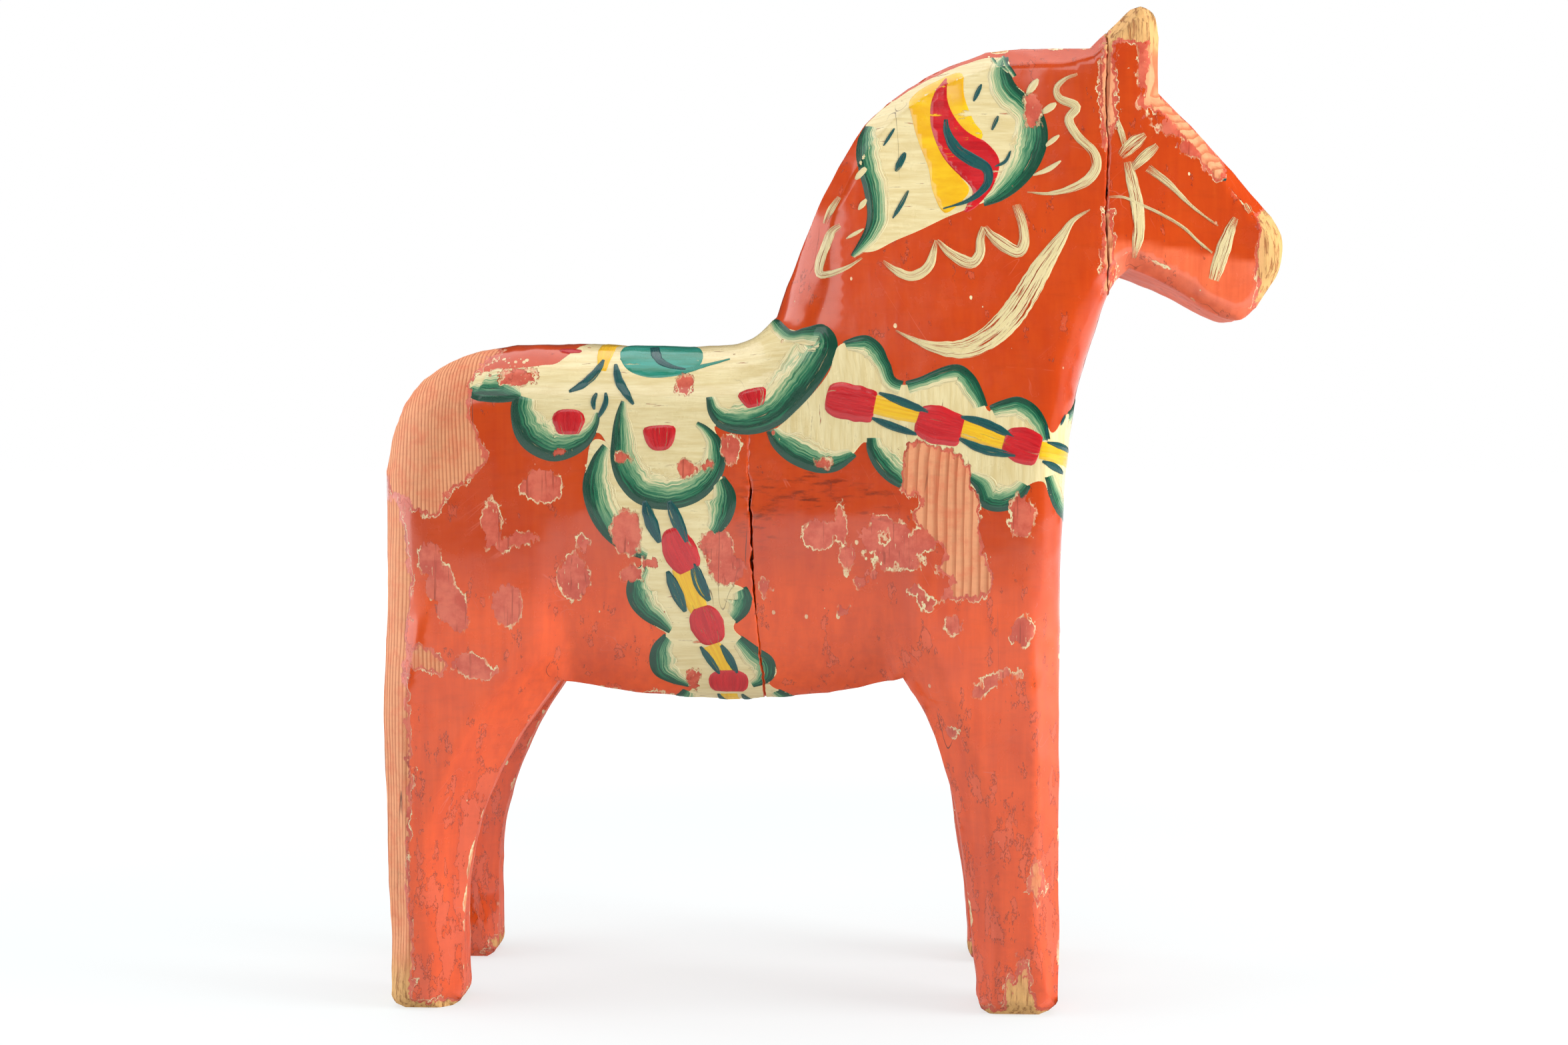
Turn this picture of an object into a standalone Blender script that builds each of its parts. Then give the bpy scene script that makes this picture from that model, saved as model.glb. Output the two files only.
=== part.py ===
"""Dala horse, carved from a glued-up blank of three pine blocks with their grain upright.

Frame: +X towards the muzzle, +Y across the horse, +Z up. The origin is on the ground,
halfway along the horse and in its plane of symmetry. Lengths are in metres.

The horse is shaped as it is carved. Its side outline is sawn out as a flat sheet, the sheet is
given its thickness from an outer and an inner surface, and the result is mirrored and then
parted at the two glue joints, which are pegged with dowels.
"""

import bmesh
import bpy
import numpy as np
from mathutils import Matrix, Vector
from mathutils.geometry import delaunay_2d_cdt

MM = 0.001

# Driving dimensions
BODY_HALF_WIDTH = 47 * MM
POLL_HALF_WIDTH = 23 * MM  # across the top of the neck, behind the ears
MUZZLE_NARROWING = 0.32  # share of the width lost between the poll and the nose
LEG_GAP_HALF_WIDTH = 21 * MM
LEG_GAP_SPRING = 66 * MM  # height where the arch between the legs starts to close
LEG_GAP_TOP = 106 * MM
BODY_JOINT_X = -26 * MM  # glue joint between the hind block and the fore block
HEAD_JOINT_X = 89.5 * MM  # glue joint between the fore block and the head block
JOINT_GAP = 0.3 * MM

# Carving
MESH_STEP = 6.5 * MM
INSIDE_STEP = 9.5 * MM
LEG_CHAMFER = 8 * MM
SOLE_CHAMFER = 4 * MM
BODY_ROUNDING = 20 * MM
CHEST_ROUNDING = 12 * MM
NECK_CHAMFER = 6 * MM
HEAD_CHAMFER = 5 * MM
EAR_CHAMFER = 3.5 * MM
JAW_CHAMFER = 2.5 * MM
BELLY_TOP = 166 * MM  # height on the flank where the barrel starts to turn under
BELLY_LOW = 100.5 * MM
BELLY_TUCK = 27 * MM
EAR_NOTCH_FRONT = (108 * MM, 301 * MM)  # (x, z) where the V between the ears starts
EAR_NOTCH_RISE = 32  # degrees, so that the V runs out at the top of the neck
EAR_NOTCH_OPENING = 52  # degrees

# Dowels: radius, length, and the heights at which they cross the joint
BODY_DOWEL_RADIUS = 6 * MM
BODY_DOWEL_LENGTH = 60 * MM
BODY_DOWELS = {"lower": 125 * MM, "middle": 160 * MM, "upper": 195 * MM}
HEAD_DOWEL_RADIUS = 4 * MM
HEAD_DOWEL_LENGTH = 36 * MM
HEAD_DOWELS = {"lower": 258 * MM, "upper": 286 * MM}
DOWEL_SIDES = 24

# The side outline, clockwise from the hind foot, in millimetres as (x, z). Each stretch is a
# smooth line through its points, and two stretches meet at a corner.
OUTLINE = {
    "hind_leg_back": [(-141, 0), (-145.5, 3), (-146, 12), (-147.5, 60), (-149, 140), (-148.5, 177)],
    "rump": [(-148.5, 177), (-142.5, 199.5), (-127, 213.5), (-105, 219)],
    "back": [(-105, 219), (-75, 218.8), (-40, 218.3), (-27, 221), (-19, 228)],
    "neck_back": [(-19, 228), (-13, 243), (-3, 268), (10, 290.5), (29.5, 307), (50, 315.5)],
    "crest": [(50, 315.5), (66, 316.8), (84, 316.5)],
    "ear_back": [(84, 316.5), (91, 323), (97.5, 329)],
    "ear_tip": [(97.5, 329), (101.5, 330), (105.5, 327), (107, 320)],
    "ear_front": [(107, 320), (107, 302)],
    "face": [(107, 302), (119, 291), (135, 273.5), (145.5, 261.5)],
    "nose": [(145.5, 261.5), (149, 253.5), (147.5, 242.5), (141, 231.5)],
    "chin": [(141, 231.5), (135.5, 227.5), (127.5, 229), (112, 237.5), (97.5, 244)],
    "throat": [(97.5, 244), (91.5, 237.5), (85, 221), (79.5, 202), (76, 180)],
    "chest": [(76, 180), (74.5, 150), (74, 80), (74, 12), (72.5, 3), (67.5, 0)],
    "fore_foot": [(67.5, 0), (51.5, 0)],
    "fore_leg_back": [(51.5, 0), (48, 3), (47.5, 12), (44, 40), (39.5, 70), (32, 94), (23, 109.5)],
    "belly": [(23, 109.5), (2, 104), (-34, 100.5), (-66, 103.5), (-91, 108)],
    "hind_leg_front": [(-91, 108), (-106, 86), (-117, 61), (-121.5, 38), (-122, 12), (-122.5, 3), (-126, 0)],
    "hind_foot": [(-126, 0), (-141, 0)],
}


def ease(value, low, high):
    """0 at low, 1 at high, and smooth in between."""
    t = np.clip((value - low) / (high - low), 0, 1)
    return t * t * (3 - 2 * t)


def smooth_stretch(knots):
    """Evenly spaced points on a smooth line through the knots, without the last one."""
    knots = np.array(knots) * MM
    ends = np.vstack([2 * knots[0] - knots[1], knots, 2 * knots[-1] - knots[-2]])
    slopes = (ends[2:] - ends[:-2]) / 2
    t = np.linspace(0, 1, 20, endpoint=False)[:, None]
    dense = [
        a * (1 + 2 * t) * (1 - t) ** 2 + b * t**2 * (3 - 2 * t) + sa * t * (1 - t) ** 2 - sb * t**2 * (1 - t)
        for a, b, sa, sb in zip(knots, knots[1:], slopes, slopes[1:])
    ]
    dense = np.vstack([*dense, knots[-1:]])
    along = np.concatenate([[0], np.cumsum(np.linalg.norm(np.diff(dense, axis=0), axis=1))])
    count = max(2, round(along[-1] / MESH_STEP))
    at = np.linspace(0, along[-1], count, endpoint=False)
    return np.stack([np.interp(at, along, dense[:, k]) for k in (0, 1)], axis=1)


def edge_distance(points, outline):
    """Distance of each point from the closed outline."""
    start, step = outline, np.roll(outline, -1, axis=0) - outline
    offset = points[:, None] - start[None]
    share = np.clip((offset * step).sum(2) / (step * step).sum(1), 0, 1)
    return np.linalg.norm(offset - share[:, :, None] * step, axis=2).min(1)


def half_width(x, z):
    """Half of the blank's thickness where its side is flat, which narrows up the neck and to the nose."""
    shoulder, poll = np.array([0.020, 0.185]), np.array([0.095, 0.300])
    up_neck = ((x - shoulder[0]) * (poll - shoulder)[0] + (z - shoulder[1]) * (poll - shoulder)[1]) / (
        (poll - shoulder) ** 2
    ).sum()
    width = BODY_HALF_WIDTH - (BODY_HALF_WIDTH - POLL_HALF_WIDTH) * ease(up_neck, 0, 1)
    return width * (1 - MUZZLE_NARROWING * ease(x, HEAD_JOINT_X - 0.01, 0.150) * ease(z, 0.21, 0.23))


def knife_width(x, z):
    """How far in from the outline the edge is rounded or chamfered."""
    width = SOLE_CHAMFER + (LEG_CHAMFER - SOLE_CHAMFER) * ease(z, 0, 0.030)
    body = BODY_ROUNDING + (CHEST_ROUNDING - BODY_ROUNDING) * ease(x, 0.020, 0.060)
    width = width + (body - width) * ease(z, 0.090, 0.150)
    width = width + (NECK_CHAMFER - width) * ease(z, 0.215, 0.265)
    width = width + (HEAD_CHAMFER - width) * ease(x, 0.080, 0.100) * ease(z, 0.215, 0.235)
    width = width + (EAR_CHAMFER - width) * ease(x, 0.075, 0.085) * ease(z, 0.297, 0.307)
    return width + (JAW_CHAMFER - width) * ease(x, 0.090, 0.100) * (1 - ease(z - 0.4 * x, 0.185, 0.200))


def edge_drop(x, z, distance):
    """How far the rounded or chamfered edge falls below the flat side: round on the body, flat elsewhere."""
    inward = 1 - np.clip(distance / knife_width(x, z), 0, 1)
    roundness = ease(z, 0.090, 0.150) * (1 - ease(z, 0.220, 0.260))
    return knife_width(x, z) * (inward + (1 - np.sqrt(1 - inward**2) - inward) * roundness)


def outer_surface(x, z, distance):
    """Half width of the horse at a point of its side view."""
    under = np.clip((BELLY_TOP - z) / (BELLY_TOP - BELLY_LOW), 0, 1)
    barrel = ease(x, -0.098, -0.086) * (1 - ease(x, 0.016, 0.029))
    tuck = BELLY_TUCK * (1 - np.sqrt(1 - under**2)) * barrel
    return half_width(x, z) - np.maximum(tuck, edge_drop(x, z, distance))


def inner_surface(x, z, distance):
    """Half width of the gap between the left and right legs, and a little past the middle above it."""
    rise = np.clip((z - LEG_GAP_SPRING) / (LEG_GAP_TOP - LEG_GAP_SPRING), 0, 1)
    gap = LEG_GAP_HALF_WIDTH * np.sqrt(1 - rise**2) + edge_drop(x, z, distance) * (1 - rise)
    in_leg = (z < LEG_GAP_TOP) & ((x < -0.084) | (x > 0.015))
    return np.where(in_leg, gap, -2 * MM)


def side_sheet(outline):
    """The sawn side view as flat triangles, with rings of points where the knife rounds its edge."""
    before, after = np.roll(outline, 1, axis=0), np.roll(outline, -1, axis=0)
    along = (after - before) / np.linalg.norm(after - before, axis=1)[:, None]
    inward = np.stack([along[:, 1], -along[:, 0]], axis=1)
    points = [outline]
    for share in (0.3, 0.65, 1.0):
        depth = share * knife_width(outline[:, 0], outline[:, 1])
        ring = outline + inward * depth[:, None]
        points.append(ring[edge_distance(ring, outline) > 0.93 * depth])
    low, high = outline.min(0), outline.max(0)
    rows = np.arange(low[1], high[1], INSIDE_STEP * 0.866)
    grid = np.array(
        [
            (x + (row % 2) * INSIDE_STEP / 2, z)
            for row, z in enumerate(rows)
            for x in np.arange(low[0], high[0], INSIDE_STEP)
        ]
    )
    deep = knife_width(grid[:, 0], grid[:, 1]) + INSIDE_STEP * 0.55
    points.append(grid[edge_distance(grid, outline) > deep])
    corners = [Vector(p) for p in np.vstack(points)]
    loop = [list(range(len(outline)))]
    made = delaunay_2d_cdt(corners, [], loop, 1, 1e-6)
    return np.array([tuple(v) for v in made[0]]), made[2]


def carve_half(outline):
    """The half of the horse on the +Y side, reaching a little past the plane of symmetry."""
    flat, triangles = side_sheet(outline)
    shape = bmesh.new()
    for x, z in flat:
        shape.verts.new((x, 0, z))
    shape.verts.ensure_lookup_table()
    for triangle in triangles:
        shape.faces.new([shape.verts[i] for i in triangle])
    outer = list(shape.verts)
    inner = [
        v
        for v in bmesh.ops.extrude_face_region(shape, geom=list(shape.faces))["geom"]
        if isinstance(v, bmesh.types.BMVert)
    ]
    for vertices, surface in ((outer, outer_surface), (inner, inner_surface)):
        place = np.array([(v.co.x, v.co.z) for v in vertices])
        depths = surface(place[:, 0], place[:, 1], edge_distance(place, outline))
        for vertex, depth in zip(vertices, depths):
            vertex.co.y = depth
    bmesh.ops.recalc_face_normals(shape, faces=list(shape.faces))
    return mesh_from(shape, "carved_half")


def add_object(name, mesh, collection):
    made = bpy.data.objects.new(name, mesh)
    collection.objects.link(made)
    return made


def mesh_from(shape, name):
    mesh = bpy.data.meshes.new(name)
    shape.to_mesh(mesh)
    shape.free()
    return mesh


def add_prism(name, profile, start, end, collection):
    """A cutter along X from start to end, from its outline in (y, z) with +Y to the left."""
    shape = bmesh.new()
    cap = shape.faces.new([shape.verts.new((start, y, z)) for y, z in profile])
    pulled = bmesh.ops.extrude_face_region(shape, geom=[cap])["geom"]
    moved = [v for v in pulled if isinstance(v, bmesh.types.BMVert)]
    bmesh.ops.translate(shape, vec=(end - start, 0, 0), verts=moved)
    bmesh.ops.recalc_face_normals(shape, faces=list(shape.faces))
    return as_cutter(add_object(name, mesh_from(shape, name), collection))


def as_cutter(helper):
    helper.hide_render = True
    helper.display_type = "WIRE"
    return helper


def add_rod(name, radius, length, centre, chamfer, collection):
    """A round rod lying along X."""
    shape = bmesh.new()
    bmesh.ops.create_cone(
        shape,
        cap_ends=True,
        segments=DOWEL_SIDES,
        radius1=radius,
        radius2=radius,
        depth=length,
        matrix=Matrix.Rotation(np.pi / 2, 4, "Y"),
    )
    if chamfer:
        rims = [e for e in shape.edges if abs(e.verts[0].co.x - e.verts[1].co.x) < 1e-6]
        bmesh.ops.bevel(shape, geom=rims, offset=chamfer, segments=1, affect="EDGES")
    mesh = mesh_from(shape, name)
    mesh.shade_smooth()
    mesh.set_sharp_from_angle(angle=0.6)
    rod = add_object(name, mesh, collection)
    rod.location = centre
    return rod


def add_ear_notch(collection):
    """The V between the two ears, sloping up towards the back."""
    height = 50 * MM
    spread = height * np.tan(np.radians(EAR_NOTCH_OPENING / 2))
    profile = [(0, 0), (spread, height), (-spread, height)]
    notch = add_prism("ear_notch", profile, -60 * MM, 20 * MM, collection)
    x, z = EAR_NOTCH_FRONT
    notch.location = (x, 0, z)
    notch.rotation_euler = (0, np.radians(EAR_NOTCH_RISE), 0)
    return notch


def cut(target, tool, operation="DIFFERENCE"):
    boolean = target.modifiers.new(tool.name, "BOOLEAN")
    boolean.solver = "EXACT"
    boolean.operation = operation
    boolean.object = tool


def wood_material(name, colour, roughness):
    material = bpy.data.materials.new(name)
    material.use_nodes = True
    shader = material.node_tree.nodes["Principled BSDF"]
    shader.inputs["Base Color"].default_value = (*colour, 1)
    shader.inputs["Roughness"].default_value = roughness
    shader.inputs["Metallic"].default_value = 0
    return material


def whole_outline():
    return np.vstack([smooth_stretch(knots) for knots in OUTLINE.values()])


def add_block(name, start, end, cutters, collection):
    """One block of the blank: the carved horse between two saw planes."""
    block = add_object(name, carve_half(whole_outline()), collection)
    mirror = block.modifiers.new("other_side", "MIRROR")
    mirror.use_axis = (False, True, False)
    mirror.use_bisect_axis = (False, True, False)
    mirror.use_clip = True
    mirror.merge_threshold = 0.0001
    reach = 400 * MM
    square = [(-reach, -reach), (reach, -reach), (reach, reach), (-reach, reach)]
    cut(block, add_prism(name + "_saw", square, start, end, cutters), "INTERSECT")
    return block


def main():
    for old in list(bpy.data.objects):
        bpy.data.objects.remove(old, do_unlink=True)
    collection = bpy.data.collections.new("dala_horse")
    cutters = bpy.data.collections.new("cutters")
    for made in (collection, cutters):
        bpy.context.scene.collection.children.link(made)
    cutters.hide_render = True

    half_gap = JOINT_GAP / 2
    far = 300 * MM
    hind = add_block("hind_block", -far, BODY_JOINT_X - half_gap, cutters, collection)
    fore = add_block("fore_block", BODY_JOINT_X + half_gap, HEAD_JOINT_X - half_gap, cutters, collection)
    head = add_block("head_block", HEAD_JOINT_X + half_gap, far, cutters, collection)

    notch = add_ear_notch(cutters)
    cut(fore, notch)
    cut(head, notch)

    joints = (
        ("body", BODY_JOINT_X, BODY_DOWELS, BODY_DOWEL_RADIUS, BODY_DOWEL_LENGTH, hind, fore),
        ("head", HEAD_JOINT_X, HEAD_DOWELS, HEAD_DOWEL_RADIUS, HEAD_DOWEL_LENGTH, fore, head),
    )
    dowels = []
    for joint, x, heights, radius, length, behind, ahead in joints:
        for place, z in heights.items():
            name = joint + "_dowel_" + place
            centre = Vector((x, 0, z))
            dowel = add_rod(name, radius, length, centre, 1 * MM, collection)
            hole_length = length + 2 * JOINT_GAP
            hole = add_rod(name + "_hole", radius + JOINT_GAP, hole_length, centre, 0, cutters)
            as_cutter(hole)
            cut(behind, hole)
            cut(ahead, hole)
            dowels.append(dowel)

    paint = (0.68, 0.075, 0.022)
    for block in (hind, fore, head):
        block.data.materials.append(wood_material(block.name + "_painted_pine", paint, 0.35))
    for dowel in dowels:
        dowel.data.materials.append(wood_material(dowel.name + "_birch", (0.62, 0.42, 0.24), 0.6))


main()
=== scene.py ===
"""The looks of the dala horse: its carved wood, its worn oil paint and the brushed decoration.

The three carved blocks are made again at a fine scale inside their CAD solids and painted. Each
colour of the decoration is a thin film of brush strokes laid on the carved surface. Strokes and
worn patches are given in millimetres as (x, z) on the side of the horse, and are mirrored to the
far side. Near an edge that paint runs over, a stroke's points may lie beyond the edge, and then
they count on along the surface.
"""

import math

import bmesh
import bpy
import numpy as np
from mathutils import Matrix, Vector, noise
from mathutils.bvhtree import BVHTree
from mathutils.geometry import delaunay_2d_cdt


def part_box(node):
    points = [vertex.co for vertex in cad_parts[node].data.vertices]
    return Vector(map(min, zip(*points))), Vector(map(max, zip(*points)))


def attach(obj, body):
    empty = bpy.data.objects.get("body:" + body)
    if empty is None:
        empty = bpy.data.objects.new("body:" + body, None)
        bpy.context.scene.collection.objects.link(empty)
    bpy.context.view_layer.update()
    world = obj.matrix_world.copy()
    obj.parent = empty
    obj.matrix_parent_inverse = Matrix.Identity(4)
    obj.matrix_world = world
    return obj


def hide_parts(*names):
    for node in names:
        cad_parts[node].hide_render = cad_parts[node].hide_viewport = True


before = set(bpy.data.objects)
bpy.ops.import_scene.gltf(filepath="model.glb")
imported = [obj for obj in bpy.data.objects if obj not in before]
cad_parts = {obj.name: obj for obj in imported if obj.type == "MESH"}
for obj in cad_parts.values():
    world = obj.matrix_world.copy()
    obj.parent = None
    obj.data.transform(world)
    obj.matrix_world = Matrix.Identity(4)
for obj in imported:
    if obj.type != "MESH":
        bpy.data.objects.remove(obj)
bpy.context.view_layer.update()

MM = 0.001
BODY = "root"

# ---------------------------------------------------------------- the carved horse

BODY_HALF_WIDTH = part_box("fore_block")[1].y
POLL_HALF_WIDTH = 23 * MM
MUZZLE_NARROWING = 0.32
LEG_GAP_HALF_WIDTH = 21 * MM
LEG_GAP_SPRING = 66 * MM
LEG_GAP_TOP = 106 * MM
# The two glued joints, each as the places of the ends that face one another.
BODY_JOINT = (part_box("hind_block")[1].x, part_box("fore_block")[0].x)
HEAD_JOINT = (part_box("fore_block")[1].x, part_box("head_block")[0].x)
HEAD_JOINT_X = sum(HEAD_JOINT) / 2

RIM_STEP = 1.7 * MM
RIM_RINGS = (0.04, 0.12, 0.25, 0.42, 0.62, 0.82, 1.0)
RIM_FIRST = 0.25 * MM
INSIDE_STEP = 2.2 * MM
WALL_STEP = 3 * MM
LEG_CHAMFER = 8 * MM
SOLE_CHAMFER = 4 * MM
LEG_BEVEL_WIDTH = 15.5 * MM
LEG_BEVEL_AT_FOOT = 8.5 * MM
FORE_LEG_BEVEL = 0.62
LEG_BEVEL_SLOPE = 0.85
CHEEK_CREASE = 268.2 * MM
CHEEK_CREASE_FALL = 0.15
CHEEK_SLOPE = 0.15
BODY_ROUNDING = 20 * MM
CHEST_ROUNDING = 12 * MM
NECK_CHAMFER = 6 * MM
HEAD_CHAMFER = 5 * MM
EAR_CHAMFER = 3.5 * MM
JAW_ROUNDING = 5.5 * MM
BELLY_TOP = 166 * MM
BELLY_LOW = 100.5 * MM
BELLY_TUCK = 27 * MM
EAR_NOTCH_FRONT = (108 * MM, 301 * MM)
EAR_NOTCH_RISE = math.radians(32)
EAR_NOTCH_OPENING = math.radians(52)

# Where one kind of surface turns into the next, in metres: heights, or places along the horse.
SHOULDER, POLL = np.array([0.020, 0.185]), np.array([0.095, 0.300])
MUZZLE_FULL = 0.150
FOOT_TO_LEG = (0, 0.030)
LEG_TO_BODY = (0.090, 0.150)
BODY_TO_NECK = (0.220, 0.260)
BODY_TO_CHEST = (0.020, 0.060)
NECK_EDGE = (0.215, 0.265)
HEAD_EDGE_ALONG, HEAD_EDGE_UP = (0.080, 0.100), (0.215, 0.235)
EAR_EDGE_ALONG, EAR_EDGE_UP = (0.075, 0.085), (0.297, 0.307)
JAW_ALONG, JAW_UP, JAW_RISE = (0.090, 0.100), (0.185, 0.200), 0.4
LEG_BEVEL_WIDENS = (0, 0.075)
LEG_BEVEL_NARROWS = (0.095, 0.135)
LEG_BEVEL_ENDS = (0.112, 0.138)
HIND_TO_FORE_LEG = (-0.02, 0.02)
CHEEK_FULL = 0.094
BARREL_START, BARREL_END = (-0.098, -0.086), (0.016, 0.029)
HIND_GAP_END, FORE_GAP_START = -0.084, 0.015
EAR_GAP_START, EAR_GAP_LOW = 0.080, 0.295
PAST_MIDDLE = -2 * MM

# The side outline, clockwise from the hind foot, in millimetres as (x, z).
OUTLINE = {
    "hind_leg_back": [(-141, 0), (-145.5, 3), (-146, 12), (-147.5, 60), (-149, 140), (-148.5, 177)],
    "rump": [(-148.5, 177), (-142.5, 199.5), (-127, 213.5), (-105, 219)],
    "back": [(-105, 219), (-75, 218.8), (-40, 218.3), (-27, 221), (-19, 228)],
    "neck_back": [(-19, 228), (-13, 243), (-3, 268), (10, 290.5), (29.5, 307), (50, 315.5)],
    "crest": [(50, 315.5), (66, 316.8), (84, 316.5)],
    "ear_back": [(84, 316.5), (91, 323), (97.5, 329)],
    "ear_tip": [(97.5, 329), (101.5, 330), (105.5, 327), (107, 320)],
    "ear_front": [(107, 320), (107, 302)],
    "face": [(107, 302), (119, 291), (135, 273.5), (145.5, 261.5)],
    "nose": [(145.5, 261.5), (149, 253.5), (147.5, 242.5), (141, 231.5)],
    "chin": [(141, 231.5), (135.5, 227.5), (127.5, 229), (112, 237.5), (97.5, 244)],
    "throat": [(97.5, 244), (91.5, 237.5), (85, 221), (79.5, 202), (76, 180)],
    "chest": [(76, 180), (74.5, 150), (74, 80), (74, 12), (72.5, 3), (67.5, 0)],
    "fore_foot": [(67.5, 0), (51.5, 0)],
    "fore_leg_back": [(51.5, 0), (48, 3), (47.5, 12), (44, 40), (39.5, 70), (32, 94), (23, 109.5)],
    "belly": [(23, 109.5), (2, 104), (-34, 100.5), (-66, 103.5), (-91, 108)],
    "hind_leg_front": [(-91, 108), (-106, 86), (-117, 61), (-121.5, 38), (-122, 12), (-122.5, 3),
                       (-126, 0)],
    "hind_foot": [(-126, 0), (-141, 0)],
}


def ease(value, low, high):
    """0 at low, 1 at high, and smooth in between."""
    t = np.clip((value - low) / (high - low), 0, 1)
    return t * t * (3 - 2 * t)


def smooth_line(knots, step, closed=False, with_end=True):
    """Evenly spaced points on a smooth line through the knots."""
    knots = np.array(knots, dtype=float)
    if closed:
        ends = np.vstack([knots[-1], knots, knots[0], knots[1]])
        knots = np.vstack([knots, knots[0]])
    else:
        ends = np.vstack([2 * knots[0] - knots[1], knots, 2 * knots[-1] - knots[-2]])
    slopes = (ends[2:] - ends[:-2]) / 2
    t = np.linspace(0, 1, 20, endpoint=False)[:, None]
    dense = [
        a * (1 + 2 * t) * (1 - t) ** 2 + b * t**2 * (3 - 2 * t)
        + slope_a * t * (1 - t) ** 2 - slope_b * t**2 * (1 - t)
        for a, b, slope_a, slope_b in zip(knots, knots[1:], slopes, slopes[1:])
    ]
    dense = np.vstack([*dense, knots[-1:]])
    along = np.concatenate([[0], np.cumsum(np.linalg.norm(np.diff(dense, axis=0), axis=1))])
    count = max(2, round(along[-1] / step))
    at = np.linspace(0, along[-1], count + 1)
    if closed or not with_end:
        at = at[:-1]
    return np.stack([np.interp(at, along, dense[:, k]) for k in range(dense.shape[1])], axis=1)


def whole_outline(step):
    """The closed side outline, in metres."""
    stretches = [smooth_line(np.array(knots) * MM, step, with_end=False) for knots in OUTLINE.values()]
    return np.vstack(stretches)


COARSE_STEP = 5 * MM
COARSE_OUTLINE = whole_outline(COARSE_STEP)
COARSE_OUTLINE = np.vstack([COARSE_OUTLINE, COARSE_OUTLINE[:1]])
LEG_ARCHES = [
    smooth_line(np.array(OUTLINE[name]) * MM, COARSE_STEP) for name in ("hind_leg_front", "fore_leg_back")
]


def line_distance(points, line):
    """Distance of each (x, z) point from a line."""
    start, step = line[:-1], np.diff(line, axis=0)
    nearest = []
    for part in np.array_split(points, max(1, len(points) // 4000)):
        offset = part[:, None] - start[None]
        share = np.clip((offset * step).sum(2) / (step * step).sum(1), 0, 1)
        nearest.append(np.linalg.norm(offset - share[:, :, None] * step, axis=2).min(1))
    return np.concatenate(nearest)


def edge_distance(points):
    """Distance of each (x, z) point from the side outline."""
    return line_distance(points, COARSE_OUTLINE)


def half_width(x, z):
    """Half the thickness before the edges are worked: narrower up the neck and towards the muzzle."""
    neck = POLL - SHOULDER
    up_neck = ((x - SHOULDER[0]) * neck[0] + (z - SHOULDER[1]) * neck[1]) / (neck**2).sum()
    width = BODY_HALF_WIDTH - (BODY_HALF_WIDTH - POLL_HALF_WIDTH) * ease(up_neck, 0, 1)
    to_muzzle = ease(x, HEAD_JOINT_X - 0.01, MUZZLE_FULL)
    return width * (1 - MUZZLE_NARROWING * to_muzzle * ease(z, 0.21, 0.23))


def knife_width(x, z):
    """How far in from the outline the knife worked the edge."""
    width = SOLE_CHAMFER + (LEG_CHAMFER - SOLE_CHAMFER) * ease(z, *FOOT_TO_LEG)
    body = BODY_ROUNDING + (CHEST_ROUNDING - BODY_ROUNDING) * ease(x, *BODY_TO_CHEST)
    width = width + (body - width) * ease(z, *LEG_TO_BODY)
    width = width + (NECK_CHAMFER - width) * ease(z, *NECK_EDGE)
    width = width + (HEAD_CHAMFER - width) * ease(x, *HEAD_EDGE_ALONG) * ease(z, *HEAD_EDGE_UP)
    width = width + (EAR_CHAMFER - width) * ease(x, *EAR_EDGE_ALONG) * ease(z, *EAR_EDGE_UP)
    return width + (JAW_ROUNDING - width) * jaw(x, z)


def jaw(x, z):
    """1 along the underside of the jaw and muzzle."""
    return ease(x, *JAW_ALONG) * (1 - ease(z - JAW_RISE * x, *JAW_UP))


def roundness(x, z):
    """1 where the edge is rounded off, and 0 where the knife left it a flat chamfer."""
    return np.maximum(ease(z, *LEG_TO_BODY) * (1 - ease(z, *BODY_TO_NECK)), jaw(x, z))


def edge_drop(x, z, distance):
    """How much of the thickness the knife took off at a distance from the outline."""
    inward = 1 - np.clip(distance / knife_width(x, z), 0, 1)
    return knife_width(x, z) * (inward + (1 - np.sqrt(1 - inward**2) - inward) * roundness(x, z))


def leg_bevel(x, z):
    """The broad flat that the knife left along the inner edge of each leg, up to the belly."""
    shape = np.broadcast(x, z).shape
    points = np.stack([np.broadcast_to(x, shape).ravel(), np.broadcast_to(z, shape).ravel()], axis=1)
    distance = np.minimum(*[line_distance(points, arch) for arch in LEG_ARCHES]).reshape(shape)
    wide = LEG_BEVEL_AT_FOOT + (LEG_BEVEL_WIDTH - LEG_BEVEL_AT_FOOT) * ease(z, *LEG_BEVEL_WIDENS)
    wide = wide * (1 - 0.4 * ease(z, *LEG_BEVEL_NARROWS))
    wide = wide * (1 - (1 - FORE_LEG_BEVEL) * ease(x, *HIND_TO_FORE_LEG))
    return LEG_BEVEL_SLOPE * np.clip(wide - distance, 0, None) * (1 - ease(z, *LEG_BEVEL_ENDS))


def cheek_cut(x, z):
    """How far the lower part of the cheek is pared back, below a straight crease."""
    below = np.clip(CHEEK_CREASE - CHEEK_CREASE_FALL * x - z, 0, None)
    return CHEEK_SLOPE * below * ease(x, HEAD_JOINT_X, CHEEK_FULL)


def outer_surface(x, z, distance):
    """Half the thickness of the finished horse at (x, z), a distance in from the outline."""
    under = np.clip((BELLY_TOP - z) / (BELLY_TOP - BELLY_LOW), 0, 1)
    barrel = ease(x, *BARREL_START) * (1 - ease(x, *BARREL_END))
    tuck = BELLY_TUCK * (1 - np.sqrt(1 - under**2)) * barrel
    pared = np.maximum(np.maximum(tuck, edge_drop(x, z, distance)), leg_bevel(x, z))
    return half_width(x, z) - pared - cheek_cut(x, z)


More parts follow.
